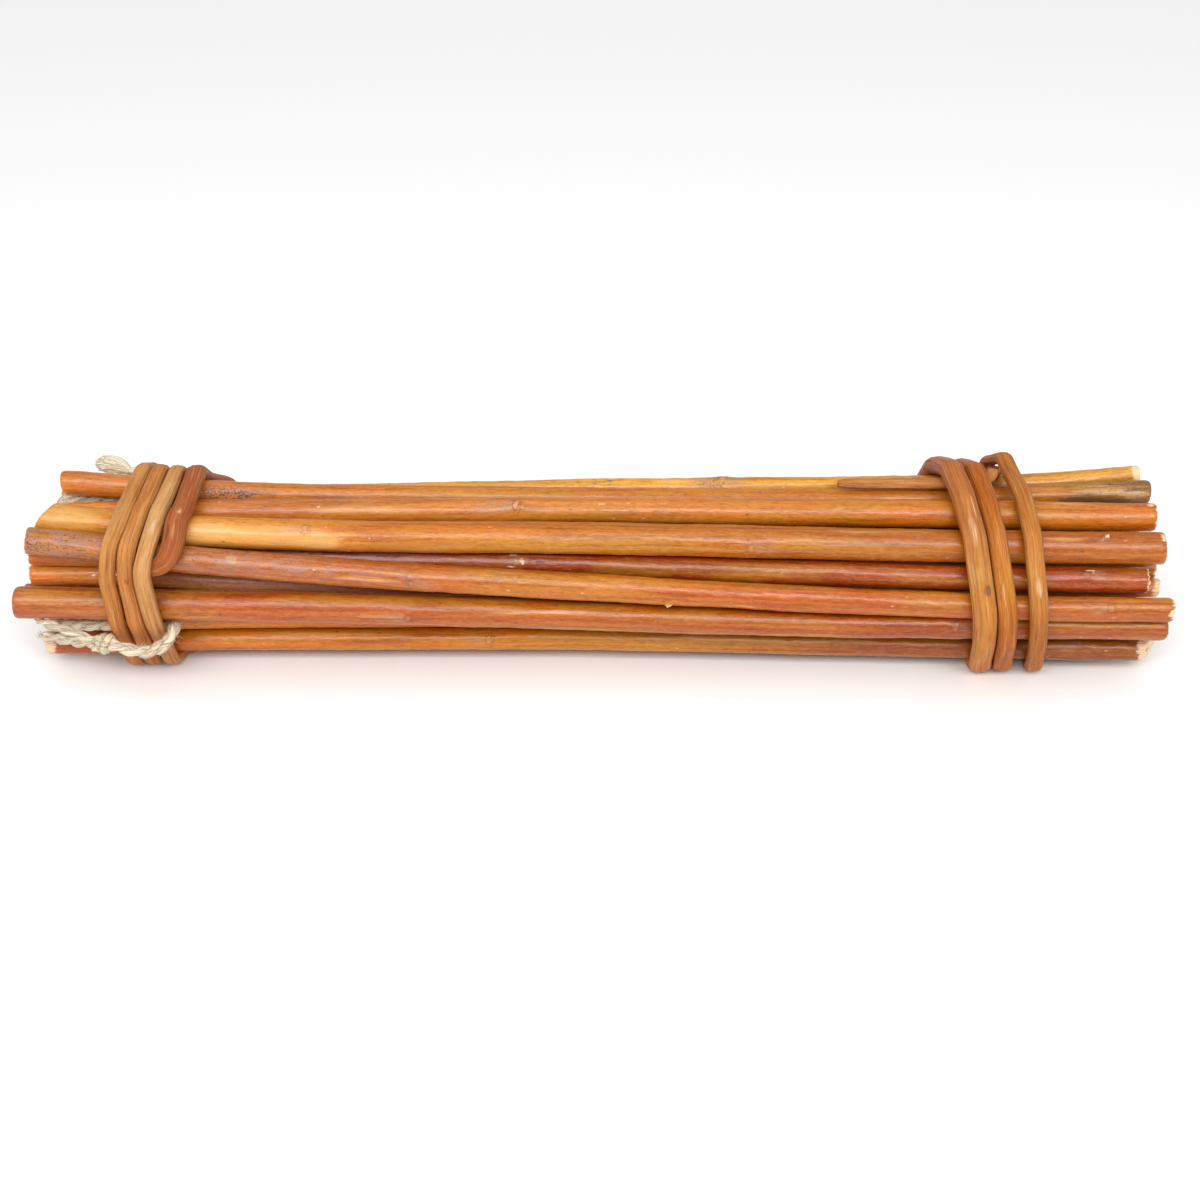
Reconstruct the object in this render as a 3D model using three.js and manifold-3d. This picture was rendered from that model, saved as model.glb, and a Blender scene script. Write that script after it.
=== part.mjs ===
// A bundle of willow twigs, bound near each end with a wound withy and tied at one end with jute twine.
// Millimetres. +X runs along the twigs, +Z is up, and the bundle lies on the undersides of its bindings at
// Z = 0, with the origin below the middle of its length.
//
// The twigs are laid out in face coordinates: the near face leans back from upright, u is the height
// across that face and v is the distance out of it. Twigs that show on the near face have their u set
// along their length. Everything else about the lay comes from packing the twigs together.
import * as THREE from 'three';
import { mergeVertices } from 'three/addons/utils/BufferGeometryUtils.js';
import Module from 'manifold-3d';

const wasm = await Module();
wasm.setup();

// Driving dimensions.
const FACE_LEAN = THREE.MathUtils.degToRad(35);
const BUNDLE_RADIUS = 17.5;
const GAP = 0.3;
const BED_LEFT = -16.4;
const BED_RIGHT = -15.7;
const BINDING_LEFT_X = -90;
const BINDING_RIGHT_X = 82;
const TWINE_RADIUS = 1.2;
const TWIG_SIDES = 8;
const INNER_SIDES = 6;
const WITHY_SIDES = 6;

// The lengthwise stations where the packing is solved, closer together under the bindings.
const STATIONS = [-119, -111, -104, -97, -90, -80, -60, -35, -5, 25, 50, 68, 82, 96, 119];

// Twigs of the near face, from the top down: radius at each end, the two ends, and [x, u] along the length.
const NEAR_TWIGS = [
  { name: 'twig_crest', r: [2.1, 2.2], ends: [-111, 114], color: 0xd9a24f,
    depth: [[-84, 9.4], [-46, 3], [0, 0]],
    u: [[-84, 13.6], [-46, 14.1], [1, 15.2], [92, 16.1], [113, 18.5]] },
  { name: 'twig_top', r: [2.45, 2.75], ends: [-108.5, 114.8], color: 0xc9793b,
    depth: [[-84, -6.6], [-50, -1], [0, 0]],
    u: [[-108, 16], [-72, 13.4], [1, 12.6], [52, 12.3], [93, 13.5], [113, 14.2]] },
  { name: 'twig_upper', r: [2.75, 2.9], ends: [-109, 113.7], color: 0xc8763a,
    depth: [[-90, 6], [-50, 2], [0, 0]],
    u: [[-110, 9.1], [-80, 9.7], [-55, 9.8], [1, 10.1], [62, 9.5], [112, 8.5]] },
  { name: 'twig_amber', r: [3.3, 3.2], ends: [-112, 114.6], color: 0xd99a4e,
    u: [[-110, 8.2], [-77, 5.4], [-45, 4.6], [1, 4.3], [61, 2.9], [112, 2.2]] },
  { name: 'twig_dark', r: [2.4, 2.8], ends: [-113.7, 111.4], color: 0x93451f,
    depth: [[-60, 5], [-10, 1], [0, 0]],
    u: [[-113, 1.4], [-63, 0.4], [1, -1.2], [62, -3.3], [110, -4.3]] },
  { name: 'twig_crossing', r: [2.75, 2.6], ends: [-112.5, 116], color: 0xb4683a,
    u: [[-112, 3.8], [-103, 2.9], [-80, -0.1], [-45, -3], [1, -5.7], [46, -8.1], [92, -9.9], [112, -10.1]] },
  { name: 'twig_tucked', r: [2.05, 2.05], ends: [-114.5, 115.4], color: 0xa9562d,
    depth: [[-110, 4], [-60, 6]],
    u: [[-114, -3], [-101, -3], [-64, -4.9], [0, -5.6], [114, -5.6]] },
  { name: 'twig_sliver', r: [1.85, 1.8], ends: [-116.3, 112], color: 0x87401f,
    depth: [[0, 6]],
    u: [[-115, -6.5], [-100, -6.5], [0, -8.2], [110, -9.5]] },
  { name: 'twig_russet', r: [3.25, 2.8], ends: [-116.5, 116], color: 0xa95a30,
    u: [[-114, -8.6], [-63, -9.5], [-33, -10.2], [1, -11.4], [46, -12.9], [114, -13.6]] },
  { name: 'twig_bottom', r: [2.4, 2.4], ends: [-114.4, 116.3], color: 0xa86328,
    u: [[-110, -16.9], [-73, -16], [1, -16], [62, -17.4], [113, -18.4]] },
];

// Twigs of the far side and the middle, each with the turn about the bundle's axis where it starts.
const HIDDEN_RINGS = [
  { name: 'twig_back', count: 9, reach: 15, from: 106, to: 262, sides: TWIG_SIDES, thin: 2.35, thick: 2.95,
    color: 0xb06a35 },
  { name: 'twig_inner', count: 7, reach: 9, from: 28, to: 300, sides: INNER_SIDES, thin: 2.3, thick: 2.8,
    color: 0xa05c2e },
  { name: 'twig_core', count: 3, reach: 3.5, from: 10, to: 250, sides: INNER_SIDES, thin: 2.4, thick: 2.7,
    color: 0x9a5a30 },
];

// Things held among the twigs, which the packing leaves room for: the twine's hidden runs and the right
// withy's tail along the top.
const HELD = [
  { from: -98, to: -91, u: 17.4, v: 2.2, r: 1.4 },
  { from: -91, to: -79, u: 14.5, v: 2.7, r: 1.4 },
  { from: -112, to: -96, u: 12.8, v: 3.2, r: 1.4 },
  { from: -96, to: -79, u: 11.7, v: 2.7, r: 1.4 },
  { from: -114, to: -80, u: -13.1, v: 7.6, r: 1.4 },
  { from: 48, to: 84, u: 15.7, v: 6, r: 1.2 },
];

// The left withy: its first end hooks back under its own second wrap, it winds towards the end of the
// bundle, and its last end turns back along the far side under the wraps.
const LEFT_WITHY = {
  color: 0xb98248,
  lead: [],
  knots: [
    [-5.2, -91, 1.3, 1.1], [-5, -88, 1.5, 1.25], [-4, -85.4, 1.8, 1.45], [0.5, -83.4, 2.1, 1.6],
    [8, -82.5, 2.2, 1.6], [20, -82.2, 2.25, 1.6], [28, -81.4, 2.1, 1.6], [50, -81, 2.05, 1.5],
    [90, -80.5, 2.05, 1.3], [125, -77.5, 2, 1.55], [180, -79.5, 1.9, 1.5], [235, -84.6, 1.8, 1.45],
    [275, -87.4, 1.7, 1.25], [315, -87.8, 1.7, 1.36], [336, -88.2, 1.7, 1.38], [349, -88.4, 1.7, 1.38],
    [360, -87.8, 1.68, 1.38], [396, -85.6, 1.68, 1.38], [450, -84.8, 1.66, 1.2], [540, -86.8, 1.66, 1.36],
    [595, -90.2, 1.66, 1.36], [635, -91.4, 1.66, 1.2], [675, -91.4, 1.66, 1.36], [696, -91.8, 1.66, 1.36],
    [709, -92.1, 1.66, 1.36], [720, -91.6, 1.66, 1.36], [756, -89.2, 1.66, 1.36], [810, -88.4, 1.64, 1.2],
    [900, -91, 1.62, 1.35], [955, -94, 1.62, 1.35], [995, -95, 1.62, 1.2], [1035, -95.2, 1.6, 1.35],
    [1056, -95.6, 1.6, 1.35], [1069, -95.9, 1.6, 1.35], [1080, -95.2, 1.6, 1.35], [1116, -92.6, 1.6, 1.35],
    [1170, -91.4, 1.58, 1.25], [1205, -93.8, 1.55, 1.3], [1232, -95.6, 1.5, 1.25], [1243, -93.6, 1.45, 1.2],
    [1246, -90, 1.35, 1.15], [1247, -86.5, 1.2, 1.05],
  ],
  under: [
    { from: -98, to: -90.5, u: 16.4, v: 2.4, r: 1.2, after: 0, before: 2000 },
    { from: -91.4, to: -86.5, u: -1.8, v: 20.9, r: 1.25, after: 200, before: 500 },
    { from: -94.2, to: -86, u: 5.1, v: -19, r: 1.25, after: 200, before: 1150 },
  ],
};

// The right withy: a thin tail lies along the top under the two wraps nearest the middle and bends over
// behind, in front of the third. The strand winds back towards the middle from that third wrap, and its
// thick last end turns back along the far side under the wraps.
const RIGHT_WITHY = {
  color: 0xc08a4c,
  lead: [
    [50, 15.7, 6, 1.2, 1.1], [64, 15.7, 6, 1.2, 1.1], [74, 15.7, 6, 1.2, 1.1], [78.6, 15.8, 6.1, 1.2, 1],
    [80.9, 16.7, 6.4, 1.25, 0.85], [82, 18.2, 5.7, 1.3, 0.75],
  ],
  knots: [
    [80, 82.6, 1.35, 0.75], [92, 83.4, 1.4, 0.75], [105, 85, 1.45, 0.85], [125, 88, 1.5, 1.1],
    [150, 90.4, 1.55, 1.3], [180, 91.8, 1.65, 1.4], [235, 92, 1.8, 1.45], [275, 91, 1.8, 1.15],
    [286, 90.4, 1.8, 1.2], [306, 89.5, 1.8, 1.4], [328, 88.4, 1.82, 1.45], [352, 87.6, 1.82, 1.5],
    [378, 86.9, 1.82, 1.5], [407, 86.2, 1.85, 1.45], [430, 85, 1.8, 1.2], [450, 83.9, 1.75, 1.05],
    [475, 82.2, 1.75, 1.05], [500, 82.2, 1.85, 1.3], [540, 82.6, 1.9, 1.5], [595, 84.3, 1.95, 1.5],
    [635, 84.6, 1.95, 1.2],
    [646, 84, 1.95, 1.25], [666, 83.2, 1.95, 1.45], [688, 82.2, 1.95, 1.5], [712, 80.9, 1.95, 1.55],
    [738, 79.7, 1.95, 1.55], [767, 78.7, 1.98, 1.55], [810, 77.2, 2, 1.6], [840, 75.8, 2.05, 1.65],
    [900, 77, 2.1, 1.7], [955, 79.4, 2.2, 1.7], [995, 79.9, 2.25, 1.35], [1006, 79.3, 2.25, 1.4],
    [1026, 78.6, 2.3, 1.65], [1048, 77.6, 2.35, 1.75], [1072, 76.3, 2.35, 1.85], [1098, 75.1, 2.35, 1.85],
    [1127, 74, 2.4, 1.85], [1150, 73, 2.4, 1.85], [1170, 72.2, 2.4, 1.85], [1200, 70.8, 2.4, 1.85],
    [1228, 71.4, 2.3, 1.8], [1241, 74.5, 2.2, 1.75], [1244, 78, 2.1, 1.7], [1245, 81.5, 1.9, 1.6],
    [1246, 85, 1.6, 1.4],
  ],
  under: [
    { from: 48, to: 83, u: 15.7, v: 6, r: 1.2, after: 200, before: 2000 },
    { from: 79, to: 88, u: 19.3, v: 3, r: 0.8, after: 395, before: 525 },
    { from: 79, to: 88, u: 19.3, v: -3, r: 0.8, after: 395, before: 525 },
    { from: 74.5, to: 85.5, u: 5.2, v: -19.4, r: 1.75, after: 200, before: 1150 },
  ],
};

// The twine's route as [x, u, v]: from the frayed end on top, under the wraps, along the gap below the top
// twig, across the recessed end of the bundle, along the gap above the bottom twig and under the wraps,
// then round them to its knot and out to the opened tail.
const TWINE_ROUTE = [
  [-103.5, 20.9, 0.6], [-100.5, 20.3, 0.8], [-97.5, 19.4, 1], [-94.8, 17.9, 1.8], [-92, 15.8, 2.6],
  [-89, 14.7, 2.8], [-86, 14.5, 2.7], [-83, 14.3, 2.4], [-81.6, 13.2, 2], [-82.6, 12, 2.2],
  [-85.6, 11.6, 2.6], [-91, 11.8, 2.8], [-98, 12.7, 3.2], [-106, 12.8, 3.1], [-109.5, 12.2, 2.6],
  [-110.8, 9.5, 1.6], [-111, 4.5, 1], [-111, -1, 0.8], [-111, -6, 0.9], [-111, -10.4, 2],
  [-110.6, -12.6, 4.4], [-108.6, -13.3, 6.6], [-105, -13.2, 7.5], [-98, -13.1, 7.6], [-88.5, -13.1, 7.8],
  [-85.9, -13.2, 9.2], [-84.7, -13.6, 11.6], [-84.6, -14.8, 13.8], [-85.7, -16.9, 14.8], [-88, -18.2, 13.8],
  [-90.8, -18.5, 13.3], [-93.6, -18, 13.5], [-96.1, -17.3, 13.6], [-98.4, -17, 12.4], [-101.6, -16.6, 11.2],
  [-105, -16, 10.6], [-108.5, -14.9, 10.2], [-112.3, -13.5, 9.5],
];
const KNOT_PLACE = [-98.4, -17, 12.4];
const KNOT_LENGTH = 4.2;
const KNOT_WIDTH = 4.4;

// The bundle's axis above the surface that it lies on, and the middle of its outline.
const AXIS_HEIGHT = 18.8;
const AXIS_SHIFT_X = 0.1;
const AXIS_SHIFT_Y = 0;

// The height that no hidden twig stands above on the near face.
const TOP_EDGE = [[-110, 15.6], [-80, 15.4], [-40, 15.6], [0, 16.8], [80, 17.8], [115, 19]];

function seededRandom(seed) {
  let state = seed;
  return () => {
    state = (state * 1664525 + 1013904223) % 4294967296;
    return state / 4294967296;
  };
}

function along(knots, x) {
  if (x <= knots[0][0]) {
    return knots[0][1];
  }
  for (let i = 1; i < knots.length; i += 1) {
    const [x0, y0] = knots[i - 1];
    const [x1, y1] = knots[i];
    if (x <= x1) {
      return y0 + (y1 - y0) * (x - x0) / (x1 - x0);
    }
  }
  return knots[knots.length - 1][1];
}

function listTwigs() {
  const random = seededRandom(7);
  const twigs = NEAR_TWIGS.map((twig) => ({ ...twig, sides: TWIG_SIDES }));
  for (const twig of twigs) {
    twig.start = STATIONS.map((x) => {
      const u = along(twig.u, x);
      return { u, v: Math.sqrt(Math.max(0, (BUNDLE_RADIUS - twig.r[0]) ** 2 - u * u)) };
    });
  }
  for (const twig of twigs) {
    twig.start.forEach((place, k) => {
      place.v -= along(twig.depth ?? [[0, 0]], STATIONS[k]);
    });
  }
  for (const ring of HIDDEN_RINGS) {
    for (let i = 0; i < ring.count; i += 1) {
      const turn = THREE.MathUtils.degToRad(ring.from + (ring.to - ring.from) * i / (ring.count - 1));
      const lean = (random() - 0.5) * 0.16;
      const radius = ring.thin + (ring.thick - ring.thin) * random();
      const taper = (random() - 0.5) * 0.3;
      twigs.push({
        name: `${ring.name}_${i + 1}`,
        r: [radius - taper, radius + taper],
        ends: [-106 - 7 * random(), 108 + 8 * random()],
        color: ring.color,
        sides: ring.sides,
        start: STATIONS.map((x) => {
          const angle = turn + lean * x / 119;
          return { u: ring.reach * Math.sin(angle), v: ring.reach * Math.cos(angle) };
        }),
      });
      const twig = twigs[twigs.length - 1];
      if (ring.reach * Math.cos(turn) > -7) {
        twig.ends[0] = -105.5 + 2.5 * random();
      }
    }
  }
  return twigs;
}

function radiusAt(twig, x) {
  return twig.r[0] + (twig.r[1] - twig.r[0]) * (x + 119) / 238;
}

function bedAt(x) {
  return BED_LEFT + (BED_RIGHT - BED_LEFT) * (x - BINDING_LEFT_X) / (BINDING_RIGHT_X - BINDING_LEFT_X);
}

// Presses the twigs together at every station until none comes nearer its neighbour than the gap.
function packTwigs(twigs) {
  const SETTLE_STEPS = 900;
  const FINISH_STEPS = 400;
  const SQUEEZE = 0.02;
  const STIFFNESS = 0.3;
  for (const twig of twigs) {
    twig.place = twig.start.map(({ u, v }) => ({ u, v }));
  }
  const heldAt = STATIONS.map((x) => HELD.filter((held) => x >= held.from && x <= held.to));
  for (let step = 0; step < SETTLE_STEPS + FINISH_STEPS; step += 1) {
    const settling = step < SETTLE_STEPS;
    for (const twig of twigs) {
      const before = twig.place.map(({ u, v }) => ({ u, v }));
      twig.place.forEach((place, k) => {
        if (settling) {
          place.u *= 1 - SQUEEZE;
          place.v *= 1 - SQUEEZE;
        }
        const bend = STIFFNESS * (settling ? 1 : 1 - (step - SETTLE_STEPS) / FINISH_STEPS);
        const a = before[Math.max(k - 1, 0)];
        const b = before[Math.min(k + 1, STATIONS.length - 1)];
        const from = STATIONS[k - 1] ?? STATIONS[0] - 15;
        const to = STATIONS[k + 1] ?? STATIONS[k] + 15;
        const share = (STATIONS[k] - from) / (to - from);
        place.u += (a.u + (b.u - a.u) * share - before[k].u) * bend;
        place.v += (a.v + (b.v - a.v) * share - before[k].v) * bend;
      });
    }
    STATIONS.forEach((x, k) => {
      for (let i = 0; i < twigs.length; i += 1) {
        const a = twigs[i].place[k];
        for (let j = i + 1; j < twigs.length; j += 1) {
          const b = twigs[j].place[k];
          pushApart(a, b, radiusAt(twigs[i], x) + radiusAt(twigs[j], x) + GAP, 0.5);
        }
        for (const held of heldAt[k]) {
          pushApart(a, { u: held.u, v: held.v }, radiusAt(twigs[i], x) + held.r + GAP, 1);
        }
        const low = a.u * Math.cos(FACE_LEAN) + a.v * Math.sin(FACE_LEAN);
        const lift = bedAt(x) + radiusAt(twigs[i], x) - low;
        if (lift > 0) {
          a.u += lift * Math.cos(FACE_LEAN);
          a.v += lift * Math.sin(FACE_LEAN);
        }
        if (twigs[i].u) {
          a.u = along(twigs[i].u, x);
        } else {
          a.u = Math.min(a.u, along(TOP_EDGE, x) - radiusAt(twigs[i], x));
        }
      }
    });
  }
}

function pushApart(a, b, wanted, share) {
  const du = b.u - a.u;
  const dv = b.v - a.v;
  const distance = Math.hypot(du, dv);
  if (distance >= wanted) {
    return;
  }
  const push = (wanted - distance) / distance;
  a.u -= du * push * share;
  a.v -= dv * push * share;
  if (share < 1) {
    b.u += du * push * share;
    b.v += dv * push * share;
  }
}

function placeAt(twig, x) {
  const k = Math.max(STATIONS.findIndex((station) => station > x), 1);
  const share = (x - STATIONS[k - 1]) / (STATIONS[k] - STATIONS[k - 1]);
  const a = twig.place[k - 1];
  const b = twig.place[k];
  return { u: a.u + (b.u - a.u) * share, v: a.v + (b.v - a.v) * share };
}

// How far a strand of half thickness clear stands from the axis where it is drawn tight round the twigs
// at x, in the direction turn (degrees from straight out of the near face, upwards).
function tightReach(twigs, extra, x, turn, clear) {
  const NORMALS = 180;
  const discs = twigs.map((twig) => ({ ...placeAt(twig, x), r: radiusAt(twig, x) }));
  discs.push(...extra.filter((held) => x > held.from && x < held.to));
  const direction = THREE.MathUtils.degToRad(turn);
  let reach = Infinity;
  for (let i = 0; i < NORMALS; i += 1) {
    const normal = 2 * Math.PI * i / NORMALS;
    const facing = Math.cos(normal - direction);
    if (facing > 0.1) {
      const edges = discs.map((disc) => disc.v * Math.cos(normal) + disc.u * Math.sin(normal) + disc.r);
      reach = Math.min(reach, (Math.max(...edges) + clear) / facing);
    }
  }
  return reach;
}

// A smooth value through knots whose first number is the position, by a Catmull-Rom spline.
function smoothAlong(knots, position) {
  const last = knots.length - 1;
  const k = Math.max(knots.findIndex((knot) => knot[0] >= position), 1);
  const span = knots[k][0] - knots[k - 1][0];
  const t = THREE.MathUtils.clamp((position - knots[k - 1][0]) / span, 0, 1);
  return knots[k].slice(1).map((_, field) => {
    const at = (i) => knots[THREE.MathUtils.clamp(i, 0, last)];
    const slope = (i) => {
      const [a, b] = [at(i - 1), at(i + 1)];
      return (b[field + 1] - a[field + 1]) / (b[0] - a[0]) * span;
    };
    const [p0, p1] = [at(k - 1)[field + 1], at(k)[field + 1]];
    const [m0, m1] = [slope(k - 1), slope(k)];
    const t2 = t * t;
    const t3 = t2 * t;
    return p0 * (2 * t3 - 3 * t2 + 1) + m0 * (t3 - 2 * t2 + t) + p1 * (3 * t2 - 2 * t3) + m1 * (t3 - t2);
  });
}

function fromFace(x, u, v) {
  const y = u * Math.sin(FACE_LEAN) - v * Math.cos(FACE_LEAN);
  const z = u * Math.cos(FACE_LEAN) + v * Math.sin(FACE_LEAN);
  return new THREE.Vector3(x, y, z);
}

// The centre line of a withy: knots are [turn in degrees, x, half width, half thickness].
function withyPath(withy) {
  const STEP = 1;
  const distances = [0];
  for (let i = 1; i < withy.knots.length; i += 1) {
    const turned = THREE.MathUtils.degToRad(withy.knots[i][0] - withy.knots[i - 1][0]) * 20;
    distances.push(distances[i - 1] + Math.hypot(turned, withy.knots[i][1] - withy.knots[i - 1][1]));
  }
  const spaced = withy.knots.map((knot, i) => [distances[i], ...knot]);
  const length = distances[distances.length - 1];
  const steps = Math.round(length / STEP);
  const end = length - 1e-6;
  const path = withy.lead.map(([x, u, v, wide, thick]) => ({ centre: fromFace(x, u, v), wide, thick }));
  for (let i = 0; i <= steps; i += 1) {
    const [turn, x, wide, thick] = smoothAlong(spaced, end * i / steps);
    const under = withy.under.filter((held) => turn > held.after && turn < held.before);
    const reach = tightReach(twigs, under, x, turn, thick + GAP);
    const angle = THREE.MathUtils.degToRad(turn);
    path.push({ centre: fromFace(x, reach * Math.sin(angle), reach * Math.cos(angle)), wide, thick });
  }
  return thinned(path);
}

// Drops the points of a path that lie on nearly straight runs.
function thinned(path) {
  const STRAIGHT = 0.16;
  const LONGEST = 8;
  if (path.length < 3) {
    return path;
  }
  const first = path[0].centre;
  const last = path[path.length - 1].centre;
  const run = new THREE.Line3(first, last);
  let furthest = Math.floor(path.length / 2);
  let most = first.distanceTo(last) > LONGEST ? STRAIGHT : 0;
  path.forEach(({ centre }, i) => {
    const off = run.closestPointToPoint(centre, true, new THREE.Vector3()).distanceTo(centre);
    if (off > most) {
      most = off;
      furthest = i;
    }
  });
  if (most < STRAIGHT) {
    return [path[0], path[path.length - 1]];
  }
  return [...thinned(path.slice(0, furthest + 1)), ...thinned(path.slice(furthest)).slice(1)];
}

// A closed solid with an oval section along a path: wide along the bundle, thick away from its axis.
function sweep(path, sides) {
  const positions = [];
  const index = [];
  const lengthwise = new THREE.Vector3(1, 0, 0);
  path.forEach(({ centre, wide, thick }, i) => {
    const before = path[Math.max(i - 1, 0)].centre;
    const after = path[Math.min(i + 1, path.length - 1)].centre;
    const tangent = after.clone().sub(before).normalize();
    const outward = new THREE.Vector3(0, centre.y, centre.z);
    outward.addScaledVector(tangent, -outward.dot(tangent)).normalize();
    const across = new THREE.Vector3().crossVectors(outward, tangent);
    for (let j = 0; j < sides; j += 1) {
      const angle = 2 * Math.PI * j / sides;
      const corner = centre.clone();
      corner.addScaledVector(across, wide * Math.cos(angle));
      corner.addScaledVector(outward, thick * Math.sin(angle));
      positions.push(corner.x, corner.y, corner.z);
    }
  });
  addSkin(index, path.length, sides);
  return closedGeometry(positions, index);
}

// Joins rings of corners into a closed skin, with a flat cap on each end.
function addSkin(index, rings, sides) {
  for (let i = 0; i + 1 < rings; i += 1) {
    for (let j = 0; j < sides; j += 1) {
      const a = i * sides + j;
      const b = i * sides + (j + 1) % sides;
      index.push(a, b, b + sides, a, b + sides, a + sides);
    }
  }
  const end = (rings - 1) * sides;
  for (let j = 1; j + 1 < sides; j += 1) {
    index.push(0, j + 1, j);
    index.push(end, end + j, end + j + 1);
  }
}

function closedGeometry(positions, index) {
  const geometry = new THREE.BufferGeometry();
  geometry.setAttribute('position', new THREE.Float32BufferAttribute(positions, 3));
  geometry.setIndex(index);
  return geometry;
}

function toSolid(geometry) {
  const merged = mergeVertices(geometry, 1e-4);
  const vertProperties = new Float32Array(merged.attributes.position.array);
  const triVerts = new Uint32Array(merged.index.array);
  return new wasm.Manifold(new wasm.Mesh({ numProp: 3, vertProperties, triVerts }));
}

function fromSolid(solid) {
  const { vertProperties, triVerts } = solid.getMesh();
  return closedGeometry(Array.from(vertProperties), Array.from(triVerts));
}

function twigGeometry(twig) {
  const [left, right] = twig.ends;
  const stations = [left, ...STATIONS.filter((x) => x > left + 2 && x < right - 2), right];
  const path = stations.map((x) => {
    const { u, v } = placeAt(twig, x);
    return { centre: fromFace(x, u, v), r: radiusAt(twig, x) };
  });
  const positions = [];
  const index = [];
  for (const { centre, r } of path) {
    for (let j = 0; j < twig.sides; j += 1) {
      const angle = 2 * Math.PI * j / twig.sides;
      positions.push(centre.x, centre.y + r * Math.cos(angle), centre.z + r * Math.sin(angle));
    }
  }
  addSkin(index, path.length, twig.sides);
  return closedGeometry(positions, index);
}

function twineSolid() {
  const points = TWINE_ROUTE.map((point) => fromFace(...point));
  const curve = new THREE.CatmullRomCurve3(points, false, 'centripetal');
  const section = new THREE.Shape();
  section.absarc(0, 0, TWINE_RADIUS, 0, 2 * Math.PI);
  const settings = { steps: 56, curveSegments: 4, bevelEnabled: false, extrudePath: curve };
  const strand = new THREE.ExtrudeGeometry(section, settings);
  strand.deleteAttribute('normal');
  strand.deleteAttribute('uv');
  const knot = new THREE.SphereGeometry(KNOT_WIDTH / 2, 8, 6);
  knot.scale(KNOT_LENGTH / KNOT_WIDTH, 1, 1);
  knot.deleteAttribute('normal');
  knot.deleteAttribute('uv');
  const place = fromFace(...KNOT_PLACE);
  knot.translate(place.x, place.y, place.z);
  return fromSolid(toSolid(strand).add(toSolid(knot)));
}

// The underside of each wrap is pressed flat where the bundle lies on it.
function pressedFlat(geometry) {
  const DEEP = 50;
  const floor = new THREE.BoxGeometry(400, 400, DEEP);
  floor.deleteAttribute('normal');
  floor.deleteAttribute('uv');
  floor.translate(0, 0, -AXIS_HEIGHT - DEEP / 2);
  return fromSolid(toSolid(geometry).subtract(toSolid(floor)));
}

function addPiece(group, name, geometry, color) {
  const material = new THREE.MeshStandardMaterial({ color, roughness: 0.6, metalness: 0 });
  const mesh = new THREE.Mesh(geometry, material);
  mesh.name = name;
  group.add(mesh);
}

const twigs = listTwigs();
packTwigs(twigs);

const bundle = new THREE.Group();
for (const twig of twigs) {
  addPiece(bundle, twig.name, twigGeometry(twig), twig.color);
}
addPiece(bundle, 'withy_left', pressedFlat(sweep(withyPath(LEFT_WITHY), WITHY_SIDES)), LEFT_WITHY.color);
addPiece(bundle, 'withy_right', pressedFlat(sweep(withyPath(RIGHT_WITHY), WITHY_SIDES)), RIGHT_WITHY.color);
addPiece(bundle, 'twine', twineSolid(), 0xe1cdb0);
bundle.position.set(AXIS_SHIFT_X, AXIS_SHIFT_Y, AXIS_HEIGHT);

export default bundle;
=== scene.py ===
"""A bundle of willow twigs held by two wound withies and a jute twine, lying on a pale floor.

Lengths are in millimetres until a mesh is made, then metres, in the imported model's frame. Turns are
angles about a twig or about the whole bundle: 0 looks out of the near face, 90 points up that face.
"""
import math

import bpy
import numpy as np
from mathutils import Matrix, Vector


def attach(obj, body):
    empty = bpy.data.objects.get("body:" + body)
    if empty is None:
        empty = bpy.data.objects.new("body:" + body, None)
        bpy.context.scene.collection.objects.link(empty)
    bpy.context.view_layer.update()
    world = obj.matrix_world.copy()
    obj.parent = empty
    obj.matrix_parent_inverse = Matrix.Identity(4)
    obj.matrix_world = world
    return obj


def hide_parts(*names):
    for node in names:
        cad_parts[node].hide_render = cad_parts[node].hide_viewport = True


MM = 0.001
LEAN = math.radians(35)
AXIS_HEIGHT = 18.8
AXIS_SHIFT_X = 0.1
FACE_UP = np.array([0.0, math.sin(LEAN), math.cos(LEAN)])
FACE_OUT = np.array([0.0, -math.cos(LEAN), math.sin(LEAN)])
AXIS = np.array([AXIS_SHIFT_X, 0.0, AXIS_HEIGHT])

# The camera looks straight at the near face, from a place given in face coordinates.
LENS = 54.72
CAMERA_X, CAMERA_U, CAMERA_V = 1.35, 8.1, 380.0

# The lowest that a mesh reaches, and the eye distances where no side shoot is near.
FLOOR_GAP = 0.02
NO_EYE = (99.0, 99.0, 0.0)

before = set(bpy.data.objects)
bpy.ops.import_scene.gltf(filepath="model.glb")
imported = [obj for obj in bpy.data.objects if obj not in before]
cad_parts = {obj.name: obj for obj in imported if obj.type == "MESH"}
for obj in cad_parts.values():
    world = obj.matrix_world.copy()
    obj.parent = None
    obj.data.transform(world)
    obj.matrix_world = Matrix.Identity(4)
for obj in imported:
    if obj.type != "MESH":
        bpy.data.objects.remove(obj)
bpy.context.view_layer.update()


# ---- camera, light and floor

def add_object(name, data):
    made = bpy.data.objects.new(name, data)
    bpy.context.scene.collection.objects.link(made)
    return made


def add_camera():
    data = bpy.data.cameras.new("camera")
    data.lens = LENS
    data.sensor_width = 36.0
    data.clip_start = 0.01
    camera = add_object("camera", data)
    place = (AXIS + np.array([CAMERA_X, 0, 0]) - CAMERA_U * FACE_UP + CAMERA_V * FACE_OUT) * MM
    turn = Matrix((Vector((1, 0, 0)), Vector(FACE_UP), Vector(FACE_OUT))).transposed()
    camera.matrix_world = Matrix.Translation(Vector(place)) @ turn.to_4x4()
    bpy.context.scene.camera = camera


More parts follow.
